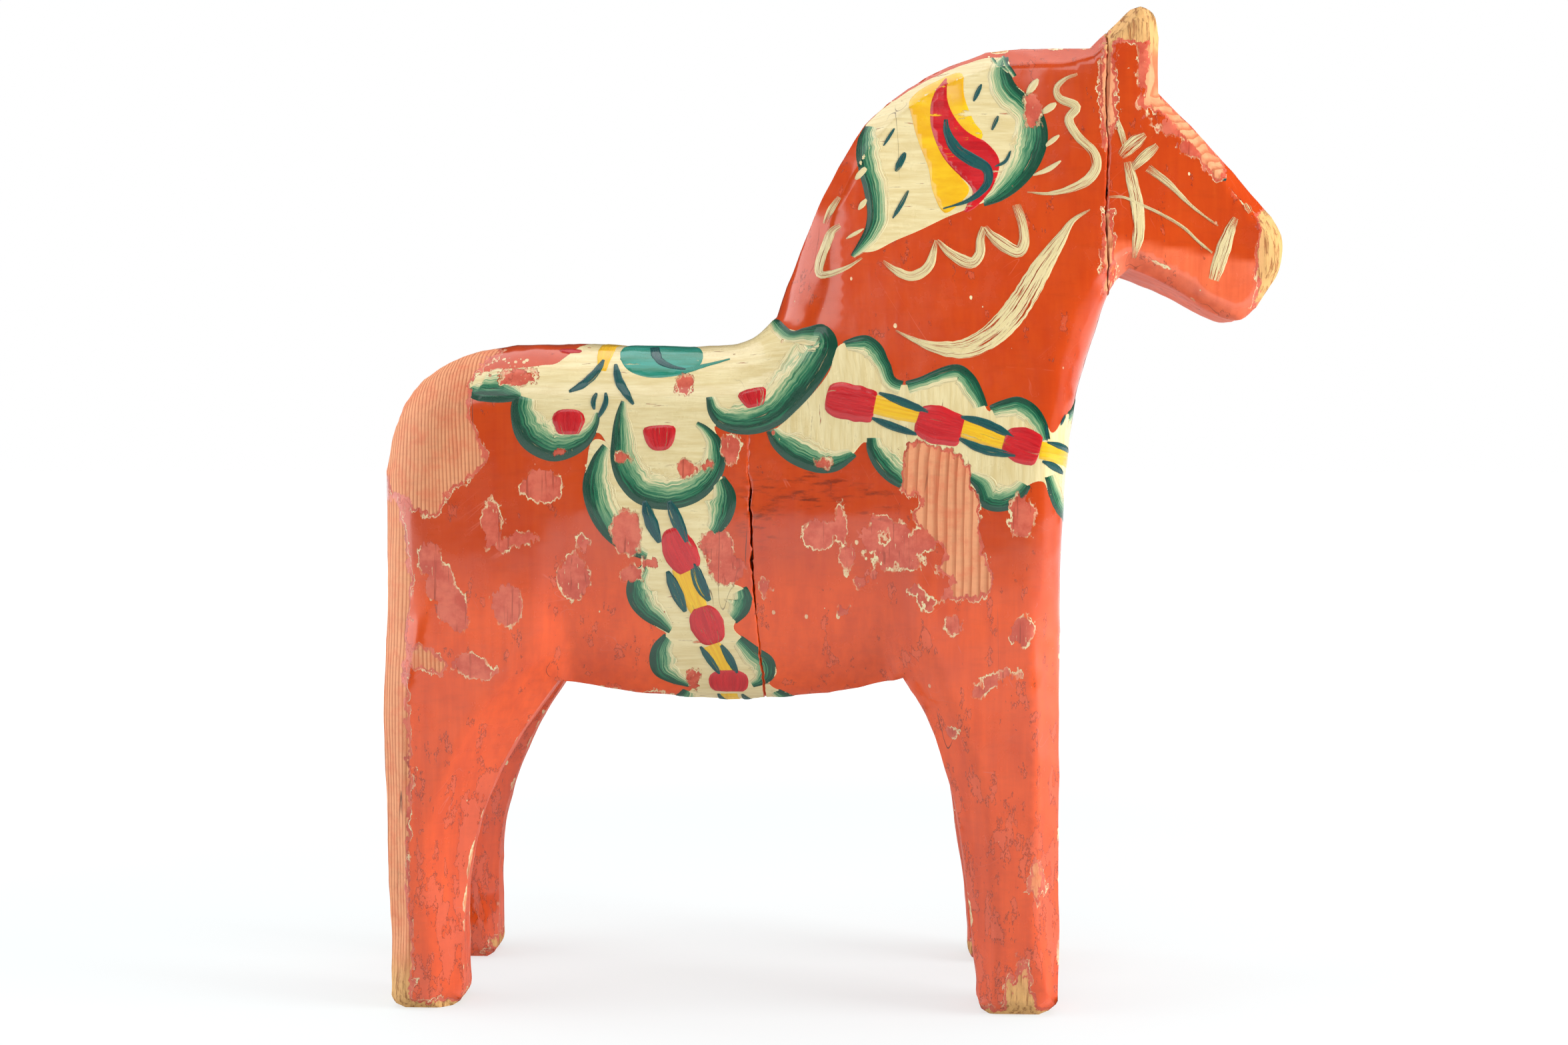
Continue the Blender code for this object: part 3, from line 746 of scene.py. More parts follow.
class Film:
    """The strokes and patches of one colour, gathered into one mesh."""

    def __init__(self, area, layer):
        self.area = area
        self.layer = layer
        self.flat, self.lift, self.faces = [], [], []
        self.values = {"along": [], "across": [], "seed": [], "tip": []}
        self.count = 0

    def add(self, flat, faces, lift, **values):
        self.flat.append(flat)
        self.lift.append(lift)
        self.faces.extend([[i + self.count for i in face] for face in faces])
        for name, numbers in values.items():
            self.values[name].append(np.broadcast_to(numbers, len(flat)).astype(float))
        self.count += len(flat)

    def stroke(self, points, widths, draw, edge=False, crown=0.06):
        """One stroke of the brush. With edge, the points are its outer edge, and it lies to their left."""
        widths = np.array(widths, dtype=float)
        if widths.ndim == 0:
            widths = widths * np.sin(np.linspace(TAPER, math.pi - TAPER, max(len(points), 5))) ** 0.7
        line = smooth_line(self.area.flatten(points), STROKE_STEP)
        at = np.linspace(0, 1, len(line))
        width = np.interp(at, np.linspace(0, 1, len(widths)), widths)
        seed = draw.random()
        wobble = np.array([noise.noise(Vector((t * len(line) * 0.35, seed * 90, 0))) for t in at])
        width = np.maximum(width * (1 + 0.07 * wobble) + 0.15 * wobble, 0.15)
        normal = left_of(line)
        rows = []
        for share in STROKE_RINGS:
            offset = width * (share if edge else share - 0.5)
            rows.append(line + normal * offset[:, None])
        flat = np.stack(rows, axis=1).reshape(-1, 2)
        rings = len(STROKE_RINGS)
        faces = [
            (i * rings + k, (i + 1) * rings + k, (i + 1) * rings + k + 1, i * rings + k + 1)
            for i in range(len(line) - 1)
            for k in range(rings - 1)
        ]
        across = np.tile(STROKE_RINGS, len(line))
        along = np.repeat(at * len(line) * STROKE_STEP, rings)
        tip = np.repeat(np.minimum(at, 1 - at) * len(line) * STROKE_STEP, rings)
        height = FILM_LIFT + self.layer * FILM_LAYER + crown * MM * (1 - (2 * across - 1) ** 2)
        border = (across == 0) | (across == 1) | (tip == 0)
        lift = np.where(border, -FILM_SINK, height)
        self.add(flat, faces, lift, along=along, across=across, seed=seed, tip=tip)

    def blob(self, points, widths, draw, crown=0.12):
        """A short full stroke with round ends."""
        points = np.array(points, dtype=float)
        line = smooth_line(points, BLOB_STEP)
        length = (len(line) - 1) * BLOB_STEP
        from_end = np.minimum(np.arange(len(line)), np.arange(len(line))[::-1]) * BLOB_STEP
        full = np.interp(np.linspace(0, length, len(line)), np.linspace(0, length, len(widths)), widths)
        blunt = np.clip(from_end / ROUND_END, 0.02, 1)
        self.stroke(line[::2], (full * np.sqrt(1 - (1 - blunt) ** 2))[::2], draw, crown=crown)

    def patch(self, corners, draw):
        """A patch filled in with the flat of the brush."""
        line = smooth_line(self.area.flatten(corners), STROKE_STEP, closed=True)
        seed = draw.random()
        low, high = line.min(0), line.max(0)
        across, up = (np.arange(low[k], high[k], PATCH_STEP) for k in (0, 1))
        grid = np.array([(u, v) for u in across for v in up])
        depth = patch_depth(grid, (line[::2],))
        inner = grid[depth > 0.9]
        ring = np.vstack([line + left_of(line) * 0.5, line - left_of(line) * 0.5])
        ring = ring[patch_depth(ring, (line[::2],)) > 0.35]
        points = np.vstack([line, ring, inner])
        made = delaunay_2d_cdt([Vector(p) for p in points], [], [list(range(len(line)))], 1, 1e-6)
        flat = np.array([tuple(v) for v in made[0]])
        inside = patch_depth(flat, (line,))
        lift = np.where(inside < 0.12, -FILM_SINK, FILM_LIFT + self.layer * FILM_LAYER)
        tip = np.maximum(inside, 0)
        self.add(flat, made[2], lift, along=flat[:, 0], across=flat[:, 1] / 40, seed=seed, tip=tip)

    def lay(self, name, surface, material, side):
        """Lay the film on one side of the carved horse."""
        flat, lift = np.vstack(self.flat), np.concatenate(self.lift)
        place = self.area.place(flat)
        place[:, 1] *= side
        shape = bmesh.new()
        layers = {key: shape.verts.layers.float.new(key) for key in self.values}
        values = {key: np.concatenate(numbers) for key, numbers in self.values.items()}
        for i, point in enumerate(place):
            spot, normal, _, _ = surface.find_nearest(Vector(point))
            vertex = shape.verts.new(spot + normal * lift[i])
            for key, layer in layers.items():
                vertex[layer] = values[key][i]
        shape.verts.ensure_lookup_table()
        for face in self.faces:
            shape.faces.new([shape.verts[i] for i in face])
        hug(shape, surface, FILM_LIFT + self.layer * FILM_LAYER)
        cut(shape, (0, 0, 0), (0, -side, 0), clear_outer=True)
        for joint, knots in ((BODY_JOINT, BODY_JOINT_WANDER), (HEAD_JOINT, HEAD_JOINT_WANDER)):
            part_film(shape, joint, knots)
        shape.normal_update()
        for face in shape.faces:
            outward = surface.find_nearest(face.calc_center_median())[1]
            if face.normal.dot(outward) < 0:
                face.normal_flip()
        return finish_piece(name, shape, material)


def hug(shape, surface, lift):
    """Bend the film closer over the sharp edges, wherever the middle of one of its edges sinks under."""
    for _ in range(2):
        sunk = []
        for edge in shape.edges:
            if edge.is_boundary or edge.calc_length() < SHORTEST_BEND:
                continue
            middle = (edge.verts[0].co + edge.verts[1].co) / 2
            spot, normal, _, _ = surface.find_nearest(middle)
            if (middle - spot).dot(normal) < LEAST_CLEARANCE:
                sunk.append(edge)
        made = bmesh.ops.subdivide_edges(shape, edges=sunk, cuts=1)["geom_inner"]
        for vertex in [g for g in made if isinstance(g, bmesh.types.BMVert)]:
            spot, normal, _, _ = surface.find_nearest(vertex.co)
            vertex.co = spot + normal * lift
    bmesh.ops.triangulate(shape, faces=[f for f in shape.faces if len(f.verts) > 4])


def part_film(shape, joint, knots):
    """Leave the film open along a joint, where the blocks have moved and cracked it."""
    middle, half = sum(joint) / 2, GROOVE_WIDTH / 2
    if not min(v.co.x for v in shape.verts) < middle < max(v.co.x for v in shape.verts):
        return
    skew(shape, knots, -1)
    for at in (middle - half, middle + half):
        cut(shape, (at, 0, 0), (1, 0, 0))
    top = BODY_CRACK_TOP if knots is BODY_JOINT_WANDER else 1
    centres = [(f, f.calc_center_median()) for f in shape.faces]
    gone = [f for f, centre in centres if abs(centre.x - middle) < half and centre.z < top]
    bmesh.ops.delete(shape, geom=gone, context="FACES")
    skew(shape, knots, 1)


# ---------------------------------------------------------------- the decoration
# Each stroke is its points and its widths in millimetres. Lobe edges run with the lobe on the left.

SADDLE = {
    "base": [
        [(-118, 209), (-119, 203.5), (-112, 201.5), (-103, 201), (-102, 192), (-98, 185.5), (-90, 182.5),
         (-82, 184.5), (-76, 190), (-72, 184), (-70, 177), (-64, 169), (-56, 166.5), (-48, 167.5),
         (-41, 172),
         (-36.5, 178), (-36, 186), (-38, 192), (-33, 191.5), (-24, 191.5), (-16, 195.5), (-9, 202),
         (-3, 209.5),
         (-0.5, 216), (-1.5, 220.5), (-5, 223.5), (-12, 223), (-18, 225.5), (-21, 232), (-24, 252),
         (-50, 252),
         (-78, 252), (-80, 225), (-88, 214), (-95, 212), (-104, 211)],
    ],
    "lobes": [
        ([(-119.5, 203.5), (-116, 200.5), (-108, 199.5), (-100, 200.5)], [3, 8, 8, 2]),
        ([(-103, 203), (-104.3, 197), (-103, 189), (-98.5, 183.5), (-91, 180.5), (-84, 182), (-78.5, 186),
          (-75.5, 192), (-75, 197)], [5, 7, 9, 9, 8.5, 8, 6, 3, 1]),
        ([(-68, 201), (-70.5, 195), (-71.8, 188), (-72.2, 181), (-70, 173.5), (-64, 167), (-55, 164.5),
          (-46, 166),
          (-39.5, 170), (-35.5, 176), (-34.3, 182), (-36, 188), (-40, 192), (-44, 194)],
         [1, 4, 6, 7, 8, 8, 8, 8, 8, 7, 6, 5, 3, 1]),
        ([(-41, 202), (-40.3, 196), (-37, 191.5), (-30, 189.3), (-22, 190), (-14.5, 194), (-7.5, 201),
          (-2, 208.5),
          (1.5, 215.5), (1.2, 221), (-3, 225), (-9, 224), (-14, 223.5), (-20, 227)],
         [2, 5, 7, 8, 8.5, 9, 10, 10, 10, 9, 6, 3, 3, 1]),
    ],
    "red": [
        ([(-85.3, 198), (-85.3, 188.3)], [7, 11, 11.5, 9, 5]),
        ([(-56, 192.8), (-55.5, 183.8)], [12, 11.5, 11, 9, 5]),
        ([(-26.3, 204.6), (-24.5, 197.3)], [10, 10.5, 9, 7, 3]),
        ([(-90, 217), (-82, 216.5)], [2, 3.5, 2]),
        ([(-63, 244), (-56, 243)], [8, 9, 7]),
    ],
    "yellow": [
        ([(-72, 230), (-73.5, 220), (-74.5, 214), (-75, 209.5)], [6, 6, 6, 3]),
        ([(-30, 243), (-44, 236), (-58, 234), (-71, 238)], [5, 6, 6, 5]),
    ],
    "pool": [
        [(-69.5, 214), (-66.5, 210), (-60, 207.6), (-52, 207.8), (-45, 210), (-42, 213.5), (-43.5, 217.5),
         (-48, 222), (-57, 224), (-66, 221), (-69.5, 217.5)],
    ],
    "pool_tail": [([(-50, 209.5), (-42, 211.5), (-33, 214)], [3, 1.5, 0.4])],
    "leaves": [
        ([(-59, 218), (-57, 214), (-53, 211.5), (-47, 210.3)], [3, 3.5, 2.5, 0.6]),
        ([(-74.3, 214), (-76.5, 210), (-80.5, 205.8), (-85.5, 203)], 3.2),
        ([(-70.7, 212.5), (-69.2, 207), (-66.5, 202.5), (-64, 198.8)], 3.2),
        ([(-76, 203.2), (-77.3, 200), (-76.8, 197)], 1.8),
        ([(-73.3, 203.3), (-73.3, 199.5), (-75.8, 194.5)], 2),
    ],
}

GIRTH = {
    "base": [
        [(-76, 188), (-79.5, 180), (-80, 170), (-77, 161), (-72, 154.5), (-65, 150.5), (-60.5, 148.5),
         (-64, 145.5),
         (-66.5, 141), (-66, 135.5), (-62.5, 130), (-57, 126), (-54.5, 124), (-58, 120.5), (-59.5, 116),
         (-58.5, 110.5), (-54, 107), (-47, 105), (-52, 101), (-55, 96), (-52, 88), (-46, 75),
         (-18, 75), (-13, 90),
         (-12, 98), (-15, 103), (-21, 106.5), (-18.5, 111), (-20.5, 116), (-26, 120.5), (-32, 125.5),
         (-31, 129),
         (-27.5, 132.5), (-27, 137), (-29.5, 140), (-36, 142.5), (-41, 149), (-38, 156), (-34, 160),
         (-31.8, 166),
         (-33, 172), (-38, 178), (-45, 180), (-60, 180)],
    ],
    "lobes": [
        ([(-74, 187), (-78, 182), (-80.8, 175), (-80.5, 168), (-77.5, 160.5), (-72.5, 154.5),
          (-66, 150.5),
          (-60, 148.5)], [2, 5, 7, 7, 7, 6, 4, 2]),
        ([(-61, 148), (-65.5, 144), (-67.3, 139), (-66, 133.5), (-62, 129), (-56, 125.5), (-53, 124)],
         [2, 5, 7, 7, 6, 5, 2]),
        ([(-55, 124.5), (-59, 120.5), (-60.6, 115.5), (-59.5, 110.5), (-55, 107),
          (-48, 105)], [3, 6, 7, 6, 5, 2]),
        ([(-50, 104.5), (-54, 100), (-55, 94), (-52, 88)], [3, 6, 6, 4]),
        ([(-37.5, 156), (-33, 161), (-31, 166.5), (-31.5, 171.5), (-35, 176.5)], [3, 6, 7, 6, 3]),
        ([(-31.5, 127.5), (-27.5, 131), (-26, 136), (-27.8, 140.5)], [3, 6, 6, 3]),
        ([(-27, 105), (-22, 106.5), (-18.7, 110.5), (-19.5, 116), (-24, 119.5),
          (-30, 124)], [2, 5, 6, 6, 5, 3]),
        ([(-12, 88), (-10.5, 95), (-12.5, 101), (-18, 105)], [4, 6, 6, 3]),
    ],
    "red": [
        ([(-52.5, 159.5), (-49.5, 152), (-45.5, 144.5)], [6, 10, 12, 11, 7]),
        ([(-43, 134), (-41, 127.5), (-38.5, 120.5)], [6, 11, 12, 10.5, 6.5]),
        ([(-34.5, 112.3), (-34.7, 102.8)], [8, 13.5, 14.5, 13, 10]),
        ([(-34.5, 86), (-34.5, 78)], [9, 12, 10]),
    ],
    "yellow": [
        ([(-49, 147), (-46.5, 140), (-43, 131)], [7, 8, 8, 6]),
        ([(-40, 121), (-37.5, 116), (-35, 110)], [6, 7, 7, 6]),
        ([(-34.8, 103), (-34.6, 94), (-34.5, 84)], [6, 7, 6]),
    ],
    "leaves": [
        ([(-61, 168.5), (-59, 162), (-55.8, 154)], 4.6),
        ([(-53, 168.5), (-50, 161), (-47, 153.8)], 4.6),
        ([(-53.7, 145.5), (-51, 139), (-47.8, 131.3)], 4.4),
        ([(-45.3, 148.5), (-43, 141), (-39.8, 135)], 4.8),
        ([(-43.6, 120.3), (-40.5, 115.5), (-37, 109.8)], 2.8),
        ([(-36.8, 121), (-33.8, 115.5), (-31.4, 110)], 3),
        ([(-38.5, 102.8), (-36, 96), (-34, 90)], 3),
        ([(-30.5, 102.8), (-28, 96), (-27, 90)], 3),
    ],
}

BREAST_BAND = {
    "base": [
        [(-20, 189), (-17.5, 184), (-13, 180.5), (-6, 178.7), (1, 179.5), (6, 182.5), (10.5, 187),
         (13, 182),
         (16, 177.5), (20, 174), (26, 172), (38, 172), (44, 173), (47.5, 169.5), (52, 167.5), (57, 167.5),
         (60.5, 170), (63.5, 173.5), (68, 174), (71, 168), (75.5, 163), (80, 160), (95, 160), (116, 163),
         (116, 205), (95, 203), (82, 197), (76, 196), (71, 190), (68, 195), (64, 199.5), (59, 200.7),
         (53, 199.5),
         (50, 197), (47.5, 203), (44.5, 208.5), (39, 210.5), (33, 209), (27, 206.5), (22, 205.5),
         (18.5, 209),
         (17, 214), (14, 218.5), (10, 220.3), (5, 219.5), (1, 217), (-1, 210), (-7, 202), (-14, 195)],
    ],
    "lobes": [
        ([(70.3, 187.5), (69, 193.5), (65.5, 198.8), (60, 201.7), (54.5, 200.6), (50, 198.7)],
         [3, 4, 4.5, 4.5, 4, 3]),
        ([(50, 198.5), (48.5, 203), (46, 208), (42, 211.6), (38, 212), (33, 210.3), (28, 208),
          (23, 206.6)],
         [3, 4, 4.5, 4.5, 4, 3.5, 3, 3]),
        ([(23, 206.6), (20, 208), (18.5, 212.5), (16, 218), (12, 221.3), (8, 221.3), (3, 219.3)],
         [3, 3.5, 4, 4.5, 4.5, 4, 2]),
        ([(114, 192), (104, 194), (98, 201), (90, 204), (82, 202), (76, 196.5)], [4, 4, 4.5, 4.5, 4, 3]),
        ([(-21.5, 190.5), (-19.5, 185.5), (-15, 181), (-9, 178), (-3, 176.8), (2.5, 178), (8, 182.5)],
         [3, 6, 7, 7, 6, 5, 2]),
        ([(10.8, 189), (11, 184), (13.5, 178.5), (18, 174), (24, 171)], [3, 5, 6, 6, 4]),
        ([(42.5, 176), (45.7, 171.5), (47, 167), (51, 164.7), (56.5, 165), (61, 168), (64, 173)],
         [2, 5, 6, 6, 6, 5, 3]),
        ([(68, 176), (70, 169), (73, 163.5), (78, 160), (88, 159), (97, 163),
          (102, 170)], [3, 5, 5, 5, 5, 5, 4]),
    ],
    "red": [
        ([(-2.5, 201.5), (14.5, 198)], [9, 12.5, 12.5, 12, 10.5]),
        ([(26.5, 194.5), (42.5, 190)], [9, 12.5, 13, 12, 9.5]),
        ([(54.5, 188), (67, 184)], [7, 11, 12.5, 12.5, 11]),
        ([(86, 181), (100, 181)], [8, 11, 12, 9]),
    ],
    "yellow": [
        ([(12, 199.5), (29, 195.5)], [6, 7, 7, 6]),
        ([(40, 192.5), (57, 187)], [6.5, 7.5, 7.5, 6]),
        ([(66, 184.5), (80, 181), (88, 180.5)], [6, 7, 7, 6]),
        ([(99, 181), (118, 181)], [6, 7, 7]),
    ],
    "leaves": [
        ([(14.5, 203), (22, 200), (31.5, 196.3)], 3),
        ([(12, 195), (19.5, 192), (27.5, 189.3)], 2.8),
        ([(40.5, 195.3), (49, 193), (59, 188.3)], 3.3),
        ([(40, 188.5), (48, 184.8), (59.5, 182.5)], 3.2),
        ([(68.5, 187), (73, 185.8), (77, 183.5)], 2.4),
        ([(67, 181), (71.5, 179), (75, 176.5)], 2.6),
        ([(69, 187), (68.5, 193)], 1.2),
        ([(73.5, 192), (75.5, 196)], 1.2),
    ],
}

MANE = {
    "base": [
        [(9.5, 289), (14, 294.5), (22, 301), (31, 306.5), (41, 310.8), (50, 313.5), (57, 313), (58, 306),
         (63, 301), (67, 296.5), (69.5, 290), (69, 283), (66.5, 277), (61, 270.5), (54.5, 266.5),
         (48, 264.5),
         (42, 262), (36, 259.5), (28, 255.5), (20, 252), (13, 248.5), (8, 249), (11, 254.5), (12, 260),
         (11, 267),
         (9, 274), (8, 281)],
    ],
    "lobes": [
        ([(49, 263.5), (55, 265.5), (61, 269.5), (66, 275), (69.3, 281.5), (70.3, 288), (68.5, 295),
          (64, 300.3),
          (59.5, 304.5), (57.5, 310), (57.5, 314)], [2, 4, 6, 7, 8, 8, 7, 6, 6, 5, 2]),
        ([(10.5, 291), (7.8, 286.5), (7, 281), (8, 275), (9.7, 268.5), (10.8, 262), (10.3, 256.5),
          (8, 251.5),
          (5.5, 247)], [3, 5, 5.5, 5.5, 5.5, 5, 4.5, 3, 1]),
        ([(58.5, 308.5), (55, 311), (52, 314)], [1, 1.6, 0.6]),
        ([(60, 307), (57.5, 311), (56, 314.5)], [1, 1.6, 0.6]),
    ],
    "yellow_patch": [
        [(24.5, 299), (31, 304.5), (41.5, 308.5), (43, 300), (46, 292), (49, 287), (44, 280), (41, 275),
         (44.5, 269.5), (42, 265), (36, 261), (32, 268), (30.5, 276), (27.5, 284), (25.5, 291)],
    ],
    "red_patch": [
        [(37, 307), (32, 300), (31, 293), (32, 287), (35, 280), (39, 275), (43.5, 271), (45, 268),
         (43, 264),
         (42.5, 261.5), (46, 263), (51, 268), (54, 275), (54, 280), (50, 285), (44, 288.5), (40, 293),
         (37.5, 299)],
    ],
    "leaves": [
        ([(36.5, 293), (37, 288), (40, 282.5), (45, 279), (49.5, 276.5), (50.5, 273), (49, 269.5),
          (44, 265.5),
          (35, 262.5)], [1, 3, 4.5, 4.5, 4, 3, 2, 1, 0.4]),
        ([(48.5, 304.5), (45.5, 298)], 1.6),
        ([(54, 294), (51.5, 288.5)], 1.4),
        ([(58, 282.5), (56, 278.5), (52, 276.5)], 1.2),
        ([(20, 289.5), (16, 283)], 1.2),
        ([(23.5, 281.5), (20, 274.5)], 2.4),
        ([(24.5, 269), (22, 264), (19, 259)], 1.6),
    ],
    "light_dabs": [
        ([(67, 306), (63, 300.5)], 2.6),
        ([(73, 298), (68, 294.5)], 2.6),
        ([(74, 287.5), (69, 283.5)], 1.8),
        ([(74.5, 279), (70, 276), (65, 274)], 1.8),
        ([(11, 276.5), (7, 272)], 2.4),
        ([(11, 266), (8, 262)], 1.8),
        ([(10, 256), (4, 252.5)], 1.2),
    ],
}

NECK_STROKES = [
    ([(80, 307.5), (76, 306), (73, 303), (74, 299.5), (79.5, 296.8), (77, 292.5), (80, 287), (85, 282),
      (86, 277),
      (83, 272.5), (77, 269.5), (70, 268),
      (63, 268.5)], [0.8, 1.5, 2.5, 3, 3, 3, 3, 3.5, 3.5, 3, 2, 1, 0.5]),
    ([(16, 245.5), (20, 242.5), (25.5, 240.5), (31, 244), (33.3, 252.5)], [0.8, 3, 3.5, 3, 1]),
    ([(33.5, 252.5), (38, 248), (44.5, 245), (47.5, 248), (47.8, 253), (49, 257)], [1, 3, 4, 3.5, 3, 2]),
    ([(49, 257), (52, 253.5), (59.5, 248.8), (62, 252), (61.5, 258),
      (59.5, 264.5)], [2, 4, 4.5, 3.5, 3, 3]),
    ([(2.5, 257), (-0.5, 255), (-2.5, 250), (-4.5, 244), (-4, 241), (0, 241.5), (5, 243.5), (9.5, 246.5)],
     [1.5, 3, 3, 3, 2.5, 2, 1, 0.6]),
    ([(2, 266.5), (-1, 262), (-3, 257.5)], [1.5, 2.5, 1.5]),
    ([(84, 263), (78, 259), (74, 253), (68, 244), (62, 234), (57, 227), (50, 220.5), (42, 217),
      (33, 217.5),
      (26, 220), (20, 223)], [0.5, 2, 5, 7, 8, 8.5, 8, 7, 5, 2, 0.5]),
]

BRIDLE_STROKES = [
    ([(90, 267), (95, 267), (100, 265), (107, 262), (115, 257.5), (120, 253),
      (125, 249)], [0.8, 1.1, 1, 1, 0.8]),
    ([(90.5, 301), (92, 295), (94.5, 288), (95.5, 284)], [1, 1.5, 2, 2]),
    ([(96.5, 279), (98, 272), (99.5, 265), (100, 257), (99.5, 252), (98.5, 247)], [3, 4, 4.5, 4.5, 4, 1]),
    ([(94, 280.5), (98, 284.5), (102.5, 288)], [2.5, 4.5, 4.5, 2]),
    ([(98, 276.5), (102, 280.5), (106.5, 284.5)], [2, 3.5, 3.5, 2]),
    ([(103, 277), (110, 272), (118, 264.5), (127, 258)], [3, 2, 1, 0.6]),
    ([(133, 261), (131, 257), (128.5, 250), (126.5, 243.5), (125.5, 240)], [2, 4, 5, 5, 4]),
    ([(136, 266), (138, 262.5)], [2, 3, 2]),
]
BRIDLE_BLUE = [([(128.5, 274), (129.5, 273)], 1.6)]


# ---------------------------------------------------------------- finishes


def colour(red, green, blue):
    """A paint's colour, given 0 to 255, turned into light."""
    parts = [c / 255 for c in (red, green, blue)]
    return tuple(c / 12.92 if c <= 0.04045 else ((c + 0.055) / 1.055) ** 2.4 for c in parts) + (1,)


ORANGE = colour(208, 74, 20)
ORANGE_DEEP = colour(184, 50, 14)
ORANGE_LIGHT = colour(222, 98, 34)
# Lighter orange for the lower part of the horse: painted light, standing in for the pale table's light and
# reflection on the lower side.
ORANGE_LOW_PAINTED_LIGHT = colour(240, 88, 20)
# Lighter orange for the pared lower cheek: painted light, for how light falls on that downward-tilted flat.
ORANGE_CHEEK_PAINTED_LIGHT = colour(248, 118, 74)
OLD_EDGE = colour(120, 40, 22)
PRIMER = colour(200, 78, 56)
PRIMER_PALE = colour(222, 108, 82)
PRIMER_LINE = colour(158, 58, 36)
CREAM = colour(238, 222, 172)
CREAM_SHADE = colour(214, 190, 130)
WOOD_PALE = colour(240, 164, 118)
WOOD_DARK = colour(182, 100, 60)
WOOD_RED = colour(224, 106, 68)
GREEN_DARK = colour(6, 66, 46)
GREEN_MID = colour(26, 112, 76)
GREEN_LIGHT = colour(126, 168, 122)
RED = colour(216, 34, 40)
RED_DEEP = colour(166, 12, 24)
YELLOW = colour(246, 200, 34)
YELLOW_DEEP = colour(226, 158, 20)
TEAL_DARK = colour(4, 44, 62)
TEAL_MID = colour(12, 92, 84)
POOL = colour(40, 156, 140)
GRIME = colour(62, 30, 18)
RAW_PINE = colour(228, 180, 112)
RAW_PINE_DARK = colour(172, 112, 58)

# The varnish over everything, as the shader's own fixed values.
GLOSS = {"IOR": 1.5, "Coat_Roughness": 0.09}
COAT_WEIGHT = 0.5


def put(tree, kind, inputs=None, **settings):
    """Place a shader node, set it up and connect what feeds it."""
    made = tree.nodes.new(kind if kind.startswith("NodeGroup") else "ShaderNode" + kind)
    for name, value in settings.items():
        setattr(made, name, value)
    for name, value in (inputs or {}).items():
        if isinstance(value, bpy.types.NodeSocket):
            tree.links.new(value, made.inputs[name])
        else:
            made.inputs[name].default_value = value
    return made


def sums(tree, operation, *values, clamp=False):
    """One step of arithmetic on values that change over the surface."""
    made = put(tree, "Math", dict(enumerate(values)), operation=operation, use_clamp=clamp)
    return made.outputs[0]


def times(tree, first, second):
    return sums(tree, "MULTIPLY", first, second)


def minus(tree, first, second):
    return sums(tree, "SUBTRACT", first, second)


def larger(tree, first, second):
    return sums(tree, "MAXIMUM", first, second)


def times_plus(tree, first, second, third, clamp=False):
    """First times second, plus third."""
    return sums(tree, "MULTIPLY_ADD", first, second, third, clamp=clamp)


def fade(tree, value, low, high, start=0.0, end=1.0):
    """A smooth change from start to end as the value goes from low to high."""
    inputs = {"Value": value, "From Min": low, "From Max": high, "To Min": start, "To Max": end}
    return put(tree, "MapRange", inputs, interpolation_type="SMOOTHSTEP").outputs["Result"]


def blend(tree, share, first, second):
    """A colour that goes from the first to the second as the share goes from 0 to 1."""
    made = put(tree, "Mix", data_type="RGBA")
    for socket, value in ((made.inputs[0], share), (made.inputs[6], first), (made.inputs[7], second)):
        if isinstance(value, bpy.types.NodeSocket):
            tree.links.new(value, socket)
        else:
            socket.default_value = value
    return made.outputs[2]


def stretched(tree, across, along):
    """The place on the horse, with its height scaled apart, for grain and cracks that run upright."""
    place = put(tree, "TexCoord").outputs["Object"]
    return put(tree, "Mapping", {"Vector": place, "Scale": (across, across, along)}).outputs["Vector"]


def grain_noise(tree, scale, detail=4.0, roughness=0.6, vector=None):
    inputs = {"Scale": scale, "Detail": detail, "Roughness": roughness}
    inputs["Vector"] = put(tree, "TexCoord").outputs["Object"] if vector is None else vector
    return put(tree, "TexNoise", inputs).outputs["Fac"]


def written(tree, name):
    """A value that was written on the mesh."""
    return put(tree, "Attribute", attribute_name=name).outputs["Fac"]


def start_group(name, inputs, outputs):
    """An empty shader group with its named inputs and outputs, and the nodes at its two ends."""
    tree = bpy.data.node_groups.new(name, "ShaderNodeTree")
    kinds = {float: "NodeSocketFloat", tuple: "NodeSocketColor"}
    for label, value in inputs.items():
        made = tree.interface.new_socket(name=label, in_out="INPUT", socket_type=kinds[type(value)])
        made.default_value = value
    for label, kind in outputs.items():
        tree.interface.new_socket(name=label, in_out="OUTPUT", socket_type=kinds[kind])
    return tree, tree.nodes.new("NodeGroupInput"), tree.nodes.new("NodeGroupOutput")


def end_group(tree, end, results):
    for label, value in results.items():
        tree.links.new(value, end.inputs[label])
    return tree


def use(tree, group, **inputs):
    """Place a shared group in a material, with this material's own values."""
    made = tree.nodes.new("ShaderNodeGroup")
    made.node_tree = group
    for label, value in inputs.items():
        socket = made.inputs[label.replace("_", " ")]
        if isinstance(value, bpy.types.NodeSocket):
            tree.links.new(value, socket)
        else:
            socket.default_value = value
    return made.outputs


